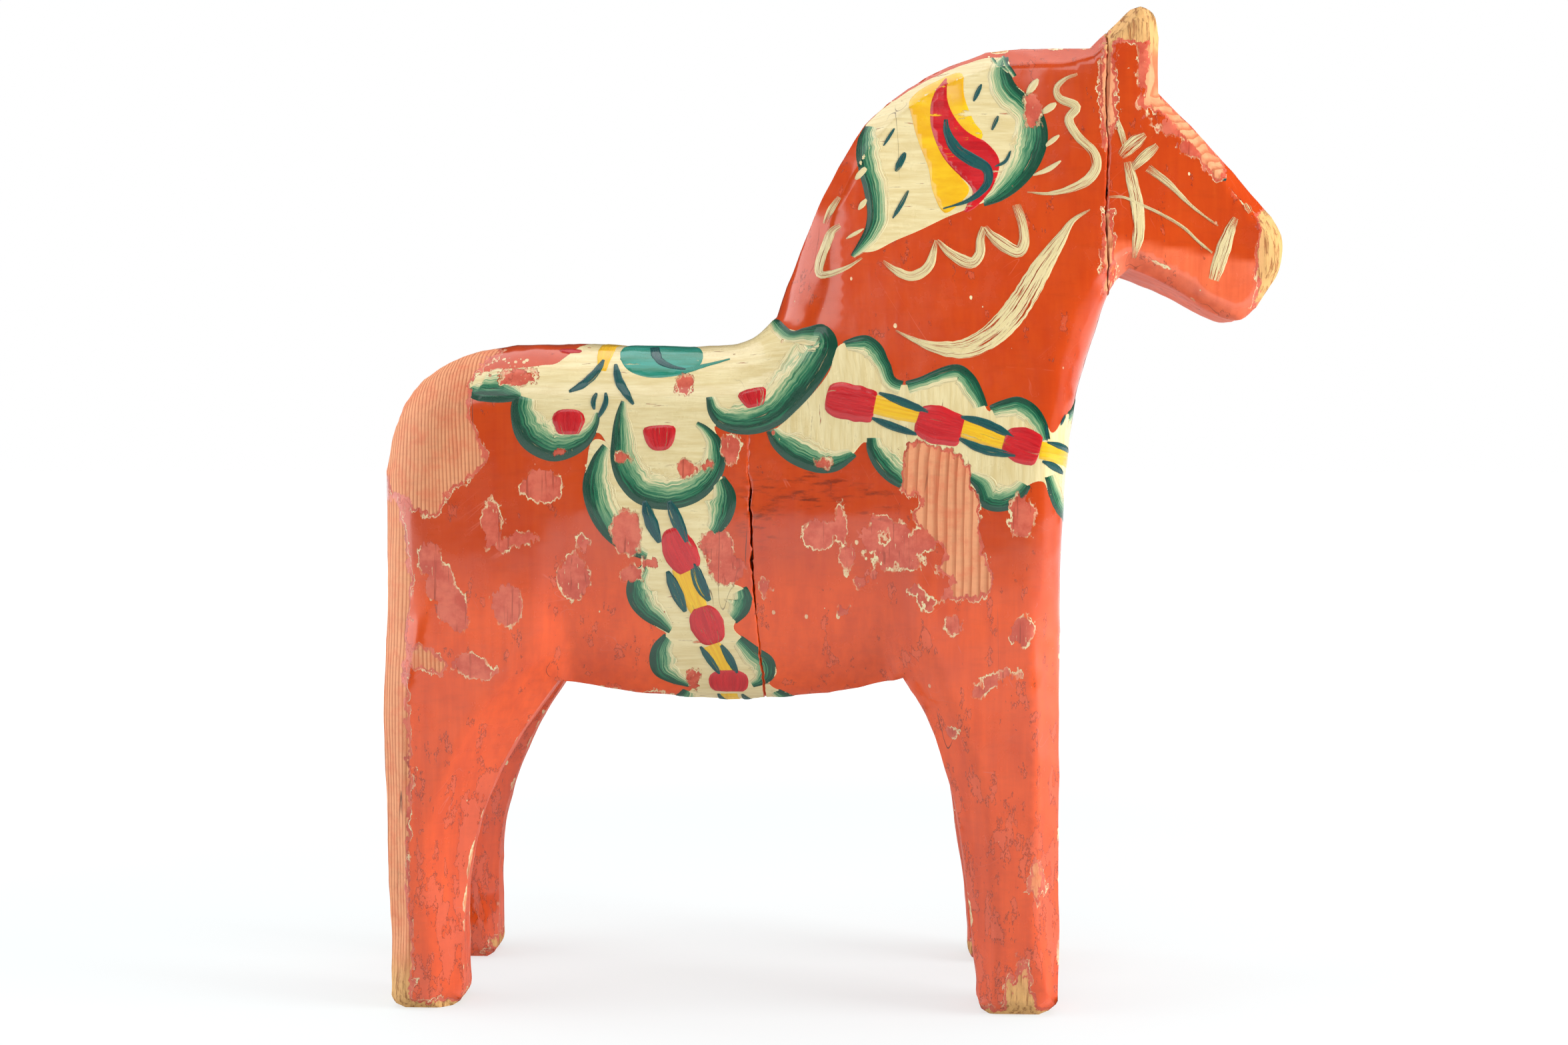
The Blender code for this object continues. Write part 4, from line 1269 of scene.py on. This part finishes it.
def worn_paint_group():
    """Where old paint has come off: chips with pale ragged rims, rubbed edges and stray specks."""
    tree, start, end = start_group(
        "worn paint",
        {"Chip": -4.0, "Bare": -4.0, "Fleck": 0.0, "Rim": 0.0, "Specks": 0.5},
        {"Pale": float, "Primer": float, "Wood": float, "Gone": float},
    )
    take = start.outputs
    ragged = minus(tree, grain_noise(tree, 1, 6, 0.62, stretched(tree, 430, 270)), 0.5)
    broad = minus(tree, grain_noise(tree, 1, 4, 0.6, stretched(tree, 150, 75)), 0.5)
    chip = times_plus(tree, ragged, 5.6, take["Chip"])
    chip = times_plus(tree, broad, 2.0, chip)
    bare = times_plus(tree, ragged, 6.5, take["Bare"])
    bare = times_plus(tree, broad, 7.0, bare)
    chipped = fade(tree, chip, 0.10, 0.22)
    patchy = fade(tree, broad, -0.06, 0.06)
    chip_rim = times(tree, fade(tree, chip, -0.45, -0.3), patchy)
    wood = fade(tree, bare, 0.0, 0.5)
    bare_primer = fade(tree, bare, -0.9, -0.7)
    bare_rim = times(tree, fade(tree, bare, -1.25, -1.1), patchy)
    # Rubbed edges go through the paint in broken runs.
    rubbed = times(tree, take["Rim"], times_plus(tree, broad, 2.6, 0.42))
    rubbed = times_plus(tree, ragged, 0.5, rubbed)
    edge_pale = fade(tree, rubbed, 0.50, 0.58)
    edge_wood = fade(tree, rubbed, 0.66, 0.80)
    # Flecks crowd where the finish is thin; specks are scattered everywhere.
    flakes = put(tree, "TexVoronoi", {"Scale": 520.0, "Randomness": 1.0, "Vector": stretched(tree, 1, 0.8)})
    near_flake = times_plus(tree, ragged, 0.5, flakes.outputs["Distance"])
    chance = put(tree, "SeparateColor", {"Color": flakes.outputs["Color"]}).outputs[0]
    crowd = fade(tree, times_plus(tree, broad, 1.2, take["Fleck"]), 0.25, 1.1)
    fleck = times(tree, fade(tree, near_flake, 0.34, 0.26), fade(tree, chance, 0.9, 0.88))
    fleck = times(tree, fade(tree, minus(tree, crowd, chance), 0.0, 0.05), fleck)
    dots = put(tree, "TexVoronoi", {"Scale": 210.0, "Randomness": 1.0, "Vector": stretched(tree, 1, 0.7)})
    dot_chance = put(tree, "SeparateColor", {"Color": dots.outputs["Color"]}).outputs[1]
    dot_size = times(tree, sums(tree, "POWER", dot_chance, 9.0), 0.16)
    dot_near = times_plus(tree, ragged, 0.12, dots.outputs["Distance"])
    dot = fade(tree, minus(tree, times(tree, dot_size, take["Specks"]), dot_near), -0.01, 0.01)
    primer = larger(tree, chipped, bare_primer)
    pale = larger(tree, larger(tree, chip_rim, bare_rim), larger(tree, edge_pale, fleck))
    pale = larger(tree, pale, dot)
    wood = larger(tree, wood, edge_wood)
    gone = larger(tree, larger(tree, pale, primer), wood)
    return end_group(tree, end, {"Pale": pale, "Primer": primer, "Wood": wood, "Gone": gone})


def pine_group():
    """Upright pine grain: growth rings round a heart, crossed by fine fibres and darker knots of resin."""
    tree, start, end = start_group(
        "pine grain",
        {"Spacing": 0.002, "Heart X": 0.0, "Heart Y": 0.0, "Light": WOOD_PALE, "Dark": WOOD_DARK},
        {"Color": tuple, "Height": float},
    )
    take = start.outputs
    place = put(tree, "SeparateXYZ", {"Vector": put(tree, "TexCoord").outputs["Object"]}).outputs
    side = minus(tree, place[0], take["Heart X"])
    depth = minus(tree, place[1], take["Heart Y"])
    squares = sums(tree, "ADD", times(tree, side, side), times(tree, depth, depth))
    radius = sums(tree, "SQRT", squares)
    drift = grain_noise(tree, 1, 3, 0.5, stretched(tree, 26, 7))
    rings = sums(tree, "DIVIDE", times_plus(tree, drift, 0.009, radius), take["Spacing"])
    ring = sums(tree, "FRACT", rings)
    late = times(tree, fade(tree, ring, 0.35, 0.9), fade(tree, ring, 1.0, 0.93))
    fibre = grain_noise(tree, 1, 4, 0.65, stretched(tree, 1500, 60))
    blotch = grain_noise(tree, 1, 3, 0.55, stretched(tree, 60, 22))
    share = times_plus(tree, late, 0.75, times_plus(tree, fibre, 0.7, -0.3))
    share = times_plus(tree, minus(tree, blotch, 0.5), 0.8, share, clamp=True)
    shade = blend(tree, share, take["Light"], take["Dark"])
    height = times_plus(tree, fibre, 0.5, times(tree, late, 0.6))
    return end_group(tree, end, {"Color": shade, "Height": height})


def crack_group():
    """Fine upright cracks where the wood has moved under its paint."""
    tree, start, end = start_group("fine cracks", {"Amount": 1.0}, {"Crack": float})
    path = grain_noise(tree, 1, 2, 0.35, stretched(tree, 90, 2.6))
    line = sums(tree, "ABSOLUTE", minus(tree, path, 0.47))
    where = fade(tree, grain_noise(tree, 1, 2, 0.5, stretched(tree, 46, 24)), 0.60, 0.68)
    thin = times(tree, fade(tree, line, 0.0045, 0.0012), where)
    crack = times(tree, thin, start.outputs["Amount"])
    return end_group(tree, end, {"Crack": crack})


def handled_group():
    """How a glossy old coat looks up close: faint brush lines, soft patches and dull handled spots."""
    tree, _, end = start_group(
        "handled coat", {}, {"Tone": float, "Dullness": float, "Height": float, "Scratch": float}
    )
    brushed = grain_noise(tree, 1, 5, 0.6, stretched(tree, 340, 26))
    cloudy = grain_noise(tree, 38, 5, 0.6)
    smudge = grain_noise(tree, 95, 4, 0.65)
    tone = sums(tree, "ADD", times(tree, brushed, 0.45), times(tree, cloudy, 0.55))
    dull = fade(tree, smudge, 0.42, 0.78)
    height = times_plus(tree, brushed, 0.05, times(tree, cloudy, 0.25))
    place = put(tree, "TexCoord").outputs["Object"]
    scratch = 0.0
    for tilt, spread in ((0.5, 0.46), (-0.9, 0.53), (1.4, 0.5)):
        turned = put(tree, "Mapping", {"Vector": place, "Rotation": (0, tilt, 0)}).outputs["Vector"]
        drawn = put(tree, "Mapping", {"Vector": turned, "Scale": (130, 130, 3)}).outputs["Vector"]
        near = sums(tree, "ABSOLUTE", minus(tree, grain_noise(tree, 1, 1, 0.4, drawn), spread))
        patchy = fade(tree, grain_noise(tree, 55 + 20 * tilt, 2, 0.5), 0.60, 0.66)
        scratch = larger(tree, scratch, times(tree, fade(tree, near, 0.004, 0.0015), patchy))
    return end_group(tree, end, {"Tone": tone, "Dullness": dull, "Height": height, "Scratch": scratch})


def brush_group():
    """The bristle marks along a stroke, and where a drying brush leaves gaps at its ends."""
    tree, start, end = start_group(
        "brush marks", {"Dryness": 0.3, "Bristles": 9.0}, {"Streak": float, "Cover": float}
    )
    along, across, seed = written(tree, "along"), written(tree, "across"), written(tree, "seed")
    track = put(
        tree, "CombineXYZ",
        {
            "X": times(tree, along, 0.04),
            "Y": times(tree, across, start.outputs["Bristles"]),
            "Z": times(tree, seed, 63.0),
        },
    ).outputs["Vector"]
    streak = grain_noise(tree, 1.6, 5, 0.62, track)
    tip = fade(tree, written(tree, "tip"), 0.0, 6.0, 1.0, 0.0)
    need = times(tree, times_plus(tree, tip, 0.5, 0.5), start.outputs["Dryness"])
    spread = fade(tree, streak, 0.28, 0.72)
    cover = fade(tree, minus(tree, spread, need), -0.06, 0.06)
    return end_group(tree, end, {"Streak": spread, "Cover": cover})


GROUPS = {
    "worn": worn_paint_group(),
    "pine": pine_group(),
    "cracks": crack_group(),
    "handled": handled_group(),
    "brush": brush_group(),
}


def start_material(name):
    """An empty material and its node tree."""
    made = bpy.data.materials.new(name)
    made.use_nodes = True
    made.node_tree.nodes.clear()
    return made, made.node_tree


def end_material(made, base, rough, height, alpha=None, bump=1.0, coat=COAT_WEIGHT, **fixed):
    """Join colour, gloss and relief to a surface that is dull underneath and on the edges of the legs.

    Relief is in millimetres.
    """
    tree = made.node_tree
    geometry = put(tree, "NewGeometry").outputs
    facing = put(tree, "SeparateXYZ", {"Vector": geometry["Normal"]}).outputs
    level = put(tree, "SeparateXYZ", {"Vector": geometry["Position"]}).outputs["Z"]
    on_edge = fade(tree, sums(tree, "ABSOLUTE", facing["Y"]), 0.5, 0.25)
    on_edge = times(tree, on_edge, fade(tree, level, 0.125, 0.11))
    dull = larger(tree, fade(tree, facing["Z"], -0.25, -0.75), on_edge)
    rough = times_plus(tree, dull, 0.35, rough, clamp=True)
    relief = put(tree, "Bump", {"Height": height, "Distance": MM, "Strength": bump})
    normal = relief.outputs["Normal"]
    skin = put(tree, "BsdfPrincipled", {"Base Color": base, "Roughness": rough, "Normal": normal})
    tree.links.new(times(tree, minus(tree, 1.0, dull), coat), skin.inputs["Coat Weight"])
    for label, value in fixed.items():
        skin.inputs[label.replace("_", " ")].default_value = value
    if alpha is not None:
        tree.links.new(alpha, skin.inputs["Alpha"])
    put(tree, "OutputMaterial", {"Surface": skin.outputs["BSDF"]})
    return made


def worn(tree, specks):
    """The wear that is written on a piece, as masks."""
    values = {name.title(): written(tree, name) for name in ("chip", "bare", "fleck", "rim")}
    return use(tree, GROUPS["worn"], Specks=specks, **values)


def painted_pine(name, spacing, heart_x, heart_y):
    """Red-orange gloss paint over primer over pine, worn through at the edges and in patches.

    The pine's growth rings are a spacing apart, round a heart at (x, y).
    """
    made, tree = start_material(name)
    wear = worn(tree, 1.1)
    coat = use(tree, GROUPS["handled"])
    crack = use(tree, GROUPS["cracks"])["Crack"]
    pine = use(tree, GROUPS["pine"], Spacing=spacing, Heart_X=heart_x, Heart_Y=heart_y)
    tone = fade(tree, coat["Tone"], 0.32, 0.68)
    low = put(tree, "SeparateXYZ", {"Vector": put(tree, "TexCoord").outputs["Object"]}).outputs["Z"]
    # Below about 0.13 m the orange turns lighter: painted light and reflection of the pale table, not a
    # change in the paint.
    paint = blend(tree, fade(tree, low, 0.155, 0.13), ORANGE, ORANGE_LOW_PAINTED_LIGHT)
    # The pared lower cheek is painted lighter: painted light on the downward-facing flat, not a different
    # paint.
    paint = blend(tree, written(tree, "cheek"), paint, ORANGE_CHEEK_PAINTED_LIGHT)
    paint = blend(tree, times(tree, tone, 0.5), paint, ORANGE_DEEP)
    paint = blend(tree, fade(tree, coat["Tone"], 0.40, 0.22, 0.0, 0.6), paint, ORANGE_LIGHT)
    # Old layers of the coat have flaked off one another in small upright scales, most of all low down.
    scales = grain_noise(tree, 1, 6, 0.68, stretched(tree, 150, 62))
    scales = times_plus(tree, fade(tree, low, 0.16, 0.03), 0.105, scales)
    scales = times_plus(tree, written(tree, "rim"), 0.08, scales)
    ledge = fade(tree, scales, 0.640, 0.648)
    paint = blend(tree, times(tree, ledge, 0.3), paint, PRIMER_PALE)
    lip = times(tree, fade(tree, scales, 0.628, 0.638), fade(tree, scales, 0.652, 0.644))
    paint = blend(tree, times(tree, lip, 0.65), paint, OLD_EDGE)
    thin = grain_noise(tree, 160, 5, 0.65)
    lines = grain_noise(tree, 1, 3, 0.6, stretched(tree, 900, 45))
    primer = blend(tree, fade(tree, thin, 0.35, 0.65), PRIMER, PRIMER_PALE)
    primer = blend(tree, fade(tree, lines, 0.56, 0.70, 0.0, 0.75), primer, PRIMER_LINE)
    primer = blend(tree, fade(tree, sums(tree, "ADD", lines, thin), 0.78, 0.70, 0.0, 0.7), primer, CREAM)
    pale = blend(tree, fade(tree, thin, 0.4, 0.7), CREAM, PRIMER_PALE)
    paint = blend(tree, times(tree, coat["Scratch"], 0.45), paint, PRIMER_PALE)
    base = blend(tree, wear["Pale"], paint, pale)
    base = blend(tree, wear["Primer"], base, primer)
    stained = blend(tree, fade(tree, thin, 0.42, 0.70, 0.0, 0.45), pine["Color"], WOOD_RED)
    # Where the grain runs out, the wood is yellower and split into dark upright lines.
    split = fade(tree, grain_noise(tree, 1, 4, 0.7, stretched(tree, 700, 70)), 0.50, 0.66)
    end_wood = blend(tree, split, RAW_PINE, RAW_PINE_DARK)
    stained = blend(tree, times(tree, written(tree, "end_grain"), 0.85), stained, end_wood)
    base = blend(tree, wear["Wood"], base, stained)
    smear = fade(tree, grain_noise(tree, 1, 5, 0.68, stretched(tree, 120, 480)), 0.46, 0.70)
    soiled = times(tree, smear, times_plus(tree, written(tree, "soil"), 0.62, 0.07))
    base = blend(tree, soiled, base, GRIME)
    base = blend(tree, times(tree, crack, 0.85), base, GRIME)
    rough = times_plus(tree, coat["Dullness"], 0.16, 0.2)
    rough = larger(tree, rough, times(tree, wear["Gone"], 0.45))
    rough = larger(tree, rough, times(tree, wear["Wood"], 0.68))
    film = minus(tree, 1.0, wear["Gone"])
    height = times_plus(tree, film, 0.12, coat["Height"])
    height = times_plus(tree, ledge, -0.09, height)
    height = times_plus(tree, times(tree, pine["Height"], wear["Wood"]), 0.14, height)
    height = times_plus(tree, crack, -0.12, height)
    torn = times(tree, times(tree, split, written(tree, "end_grain")), wear["Wood"])
    height = times_plus(tree, torn, -0.35, height)
    varnish = times_plus(tree, wear["Wood"], -COAT_WEIGHT, COAT_WEIGHT)
    return end_material(made, base, rough, height, bump=0.9, coat=varnish, **GLOSS)


def brushed_paint(name, dark, mid, loaded=None, dryness=0.15, bristles=9.0, gloss=0.24):
    """Oil paint laid on with a brush. Loaded with two more colours, it shades across to the last."""
    made, tree = start_material(name)
    marks = use(tree, GROUPS["brush"], Dryness=dryness, Bristles=bristles)
    wear = worn(tree, 1.0)
    coat = use(tree, GROUPS["handled"])
    streak = marks["Streak"]
    cover = marks["Cover"]
    if loaded is None:
        base = blend(tree, times(tree, streak, 0.75), mid, dark)
    else:
        across = times_plus(tree, minus(tree, streak, 0.5), 0.36, written(tree, "across"))
        base = blend(tree, fade(tree, across, 0.20, 0.40), dark, mid)
        base = blend(tree, fade(tree, across, 0.36, 0.62), base, loaded[0])
        base = blend(tree, fade(tree, across, 0.56, 0.86), base, loaded[1])
        cover = times(tree, cover, fade(tree, across, 1.0, 0.86))
    crack = use(tree, GROUPS["cracks"])["Crack"]
    base = blend(tree, times(tree, crack, 0.7), base, GRIME)
    whole = minus(tree, 1.0, wear["Gone"])
    alpha = times(tree, cover, whole)
    rough = times_plus(tree, coat["Dullness"], 0.14, gloss)
    height = times_plus(tree, streak, 0.10, coat["Height"])
    return end_material(made, base, rough, height, alpha=alpha, bump=0.8, **GLOSS)


def raw_dowel(name):
    """Turned dowel, unpainted, glued in its hole."""
    made, tree = start_material(name)
    pine = use(tree, GROUPS["pine"], Spacing=0.0011, Heart_Y=0.02, Light=RAW_PINE, Dark=RAW_PINE_DARK)
    rough = fade(tree, pine["Height"], 0.0, 1.0, 0.55, 0.75)
    return end_material(made, pine["Color"], rough, pine["Height"], bump=0.15, coat=0.0)


# ---------------------------------------------------------------- putting it together

WHOLE = carved_horse()
carve(WHOLE)
SURFACE = BVHTree.FromBMesh(WHOLE)

BODY_DOWELS = ("body_dowel_lower", "body_dowel_middle", "body_dowel_upper")
HEAD_DOWELS = ("head_dowel_lower", "head_dowel_upper")

BODY_CUT = (BODY_JOINT, BODY_JOINT_WANDER)
HEAD_CUT = (HEAD_JOINT, HEAD_JOINT_WANDER)

# Each block's name, its CAD solid, its trimmed ends, its dowels, and its wood: name, ring spacing, heart.
BLOCKS = (
    ("carved_hindquarters", "hind_block", [(*BODY_CUT, -1)], BODY_DOWELS,
     ("painted pine hind", 0.0013, -0.70, 0.03)),
    ("carved_forequarters", "fore_block", [(*BODY_CUT, 1), (*HEAD_CUT, -1)], BODY_DOWELS + HEAD_DOWELS,
     ("painted pine fore", 0.0021, -0.08, 0.07)),
    ("carved_head", "head_block", [(*HEAD_CUT, 1)], HEAD_DOWELS,
     ("painted pine head", 0.0015, 0.06, 0.05)),
)
for name, node, trims, dowels, wood in BLOCKS:
    make_block(name, node, WHOLE, trims, dowels, painted_pine(*wood))

DOWEL_WOOD = raw_dowel("turned dowel")
for dowel in BODY_DOWELS + HEAD_DOWELS:
    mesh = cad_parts[dowel].data
    mesh.materials.clear()
    mesh.materials.append(DOWEL_WOOD)

PAINTS = {
    "cream": brushed_paint("cream base paint", CREAM_SHADE, CREAM, dryness=0.05, bristles=14.0),
    "two_tone": brushed_paint(
        "green and cream stroke", GREEN_DARK, GREEN_MID, (GREEN_LIGHT, CREAM), dryness=0.06, bristles=13.0
    ),
    "red": brushed_paint("red bead paint", RED_DEEP, RED, dryness=0.12, bristles=9.0, gloss=0.2),
    "yellow": brushed_paint("yellow bead paint", YELLOW_DEEP, YELLOW, dryness=0.1, bristles=5.0, gloss=0.2),
    "teal": brushed_paint("dark teal line", TEAL_DARK, TEAL_MID, dryness=0.2, bristles=4.0),
    "pool": brushed_paint("sea green patch", GREEN_MID, POOL, dryness=0.05, bristles=10.0),
    "dry_cream": brushed_paint("dry cream stroke", CREAM_SHADE, CREAM, dryness=0.6, bristles=10.0),
}

# Each area's edges, the axis they run along, and where it lies, as the arguments of Wrap.
AREAS = {
    "saddle": Wrap(("rump", "back", "neck_back"), 0, -130, 10, 150),
    "girth": Wrap(("belly",), 0, -90, 22, 200),
    "breast_band": Wrap(("chest", "throat"), 1, 140, 215, -40),
    "mane": Wrap(("neck_back", "crest"), 0, -10, 84, 230),
    "side": Side(),
}


FAR_SEED_STEP = 50


def lay_film(name, area, layer, paint, draw_from, work):
    """Paint one colour of one area on both sides of the horse."""
    for side, where in ((-1, "near"), (1, "far")):
        draw = np.random.default_rng(draw_from + (side > 0) * FAR_SEED_STEP)
        film = Film(AREAS[area], layer)
        for method, items in work:
            for item in items:
                if method == "patch":
                    film.patch(item, draw)
                elif method == "lobe":
                    film.stroke(item[0], [w * LOBE_SPREAD for w in item[1]], draw, edge=True)
                elif method == "blob":
                    film.blob(*item, draw)
                else:
                    film.stroke(*item, draw)
        film.lay(f"{name}_{where}", SURFACE, PAINTS[paint], side)


for number, (area, design) in enumerate(
    {"saddle": SADDLE, "girth": GIRTH, "breast_band": BREAST_BAND, "mane": MANE}.items()
):
    seed = 100 * number + 7
    lay_film(f"{area}_base", area, 0, "cream", seed, [("patch", design["base"])])
    lay_film(f"{area}_lobes", area, 1, "two_tone", seed + 1, [("lobe", design["lobes"])])
    yellow = [("patch", design.get("yellow_patch", [])), ("stroke", design.get("yellow", []))]
    lay_film(f"{area}_yellow", area, 2, "yellow", seed + 2, yellow)
    red = [("patch", design.get("red_patch", [])), ("blob", design.get("red", []))]
    lay_film(f"{area}_red", area, 3, "red", seed + 3, red)
    lay_film(f"{area}_leaves", area, 4, "teal", seed + 4, [("stroke", design["leaves"])])
pool = [("patch", SADDLE["pool"]), ("stroke", SADDLE["pool_tail"])]
lay_film("saddle_pool", "saddle", 2, "pool", 601, pool)
lay_film("mane_light_dabs", "mane", 2, "cream", 602, [("stroke", MANE["light_dabs"])])
lay_film("neck_strokes", "side", 1, "dry_cream", 603, [("stroke", NECK_STROKES)])
lay_film("bridle_strokes", "side", 1, "dry_cream", 604, [("stroke", BRIDLE_STROKES)])
lay_film("bridle_blue", "side", 2, "teal", 605, [("stroke", BRIDLE_BLUE)])


# ---------------------------------------------------------------- the table, the light and the camera

# How bright the table is close by and far off, and how much of that lights the horse from below.
FLOOR_GLOW = 0.64
FLOOR_GLOW_FAR = 1.0
FLOOR_GLOW_REACH = (0.3, 0.9)
FLOOR_FILL = 0.5
FLOOR_CORNERS = ((-6, -2.2, 0), (6, -2.2, 0), (6, 6, 0), (-6, 6, 0))
FLOOR_TONES = ((0.290, 0.325, 0.330, 1), (0.305, 0.340, 0.345, 1))
# How strongly the room lights the horse, what it gains where it is seen, and what reflections lose.
ROOM_LIGHT = 0.32
ROOM_SEEN = 0.68
ROOM_MIRRORED = -0.88
CAMERA_PLACE = (13.3 * MM, -748 * MM, 198 * MM)
CAMERA_PITCH = math.radians(90 - 3.014)
CAMERA_TURN = math.radians(2.363)
LENS_MM = 50
SENSOR_MM = 36

# Each light's name, place, aim, size and power, and whether it is mirrored in the paint.
LIGHTS = (
    ("top softbox", (0, 0.1, 1.2), (0, 0, 0.1), (1.5, 1.2), 9, True),
    ("right softbox", (1.5, -0.35, 0.35), (0, 0, 0.16), (0.8, 1.0), 32, False),
    ("left softbox", (-1.5, -0.1, 0.45), (0, 0, 0.16), (1.5, 1.5), 19, True),
    ("front softbox", (-0.2, -1.5, 1.0), (0, 0, 0.15), (1.0, 0.6), 5, True),
)


def grey(level):
    return (level, level, level, 1)


def make_floor():
    """A pale table top, a little brighter far off, that stays out of the object."""
    mesh = bpy.data.meshes.new("pale_table")
    mesh.from_pydata(FLOOR_CORNERS, [], [(0, 1, 2, 3)])
    floor = bpy.data.objects.new("pale_table", mesh)
    bpy.context.scene.collection.objects.link(floor)
    made, tree = start_material("pale table")
    tone = blend(tree, grain_noise(tree, 3, 3, 0.5), *FLOOR_TONES)
    rough = fade(tree, grain_noise(tree, 40, 3, 0.5), 0.0, 1.0, 0.5, 0.6)
    skin = put(tree, "BsdfPrincipled", {"Base Color": tone, "Roughness": rough, "Specular IOR Level": 0.0})
    place = put(tree, "TexCoord").outputs["Object"]
    away = put(tree, "VectorMath", {0: place}, operation="LENGTH").outputs["Value"]
    glow = blend(tree, fade(tree, away, *FLOOR_GLOW_REACH), grey(FLOOR_GLOW), grey(FLOOR_GLOW_FAR))
    tree.links.new(glow, skin.inputs["Emission Color"])
    # The table looks white and is mirrored white, but lights the horse from below only softly.
    diffuse = put(tree, "LightPath").outputs["Is Diffuse Ray"]
    tree.links.new(times_plus(tree, diffuse, FLOOR_FILL - 1.0, 1.0), skin.inputs["Emission Strength"])
    put(tree, "OutputMaterial", {"Surface": skin.outputs["BSDF"]})
    mesh.materials.append(made)


def make_light(name, place, aim, size, power, shines):
    """A soft lamp aimed at a point. One that does not shine lights the paint but is not mirrored in it."""
    lamp = bpy.data.lights.new(name, "AREA")
    lamp.shape = "RECTANGLE"
    lamp.size, lamp.size_y = size
    lamp.energy = power
    made = bpy.data.objects.new(name, lamp)
    made.location = place
    made.rotation_euler = (Vector(aim) - Vector(place)).to_track_quat("-Z", "Y").to_euler()
    made.visible_glossy = shines
    bpy.context.scene.collection.objects.link(made)


def make_surroundings():
    """A white room: bright where it is seen, dimmer where it lights the horse, and faint in reflections."""
    world = bpy.data.worlds.new("white room")
    world.use_nodes = True
    tree = world.node_tree
    tree.nodes.clear()
    path = put(tree, "LightPath").outputs
    seen = times_plus(tree, path["Is Camera Ray"], ROOM_SEEN, ROOM_LIGHT)
    strength = times(tree, seen, times_plus(tree, path["Is Glossy Ray"], ROOM_MIRRORED, 1.0))
    glow = put(tree, "Background", {"Color": (1, 1, 1, 1), "Strength": strength})
    put(tree, "OutputWorld", {"Surface": glow.outputs["Background"]})
    bpy.context.scene.world = world


def make_camera():
    lens = bpy.data.cameras.new("camera")
    lens.lens = LENS_MM
    lens.sensor_width = SENSOR_MM
    camera = bpy.data.objects.new("camera", lens)
    camera.location = CAMERA_PLACE
    camera.rotation_euler = (CAMERA_PITCH, 0, CAMERA_TURN)
    bpy.context.scene.collection.objects.link(camera)
    bpy.context.scene.camera = camera


make_floor()
make_surroundings()
for light in LIGHTS:
    make_light(*light)
make_camera()
bpy.context.scene.view_settings.view_transform = "Standard"
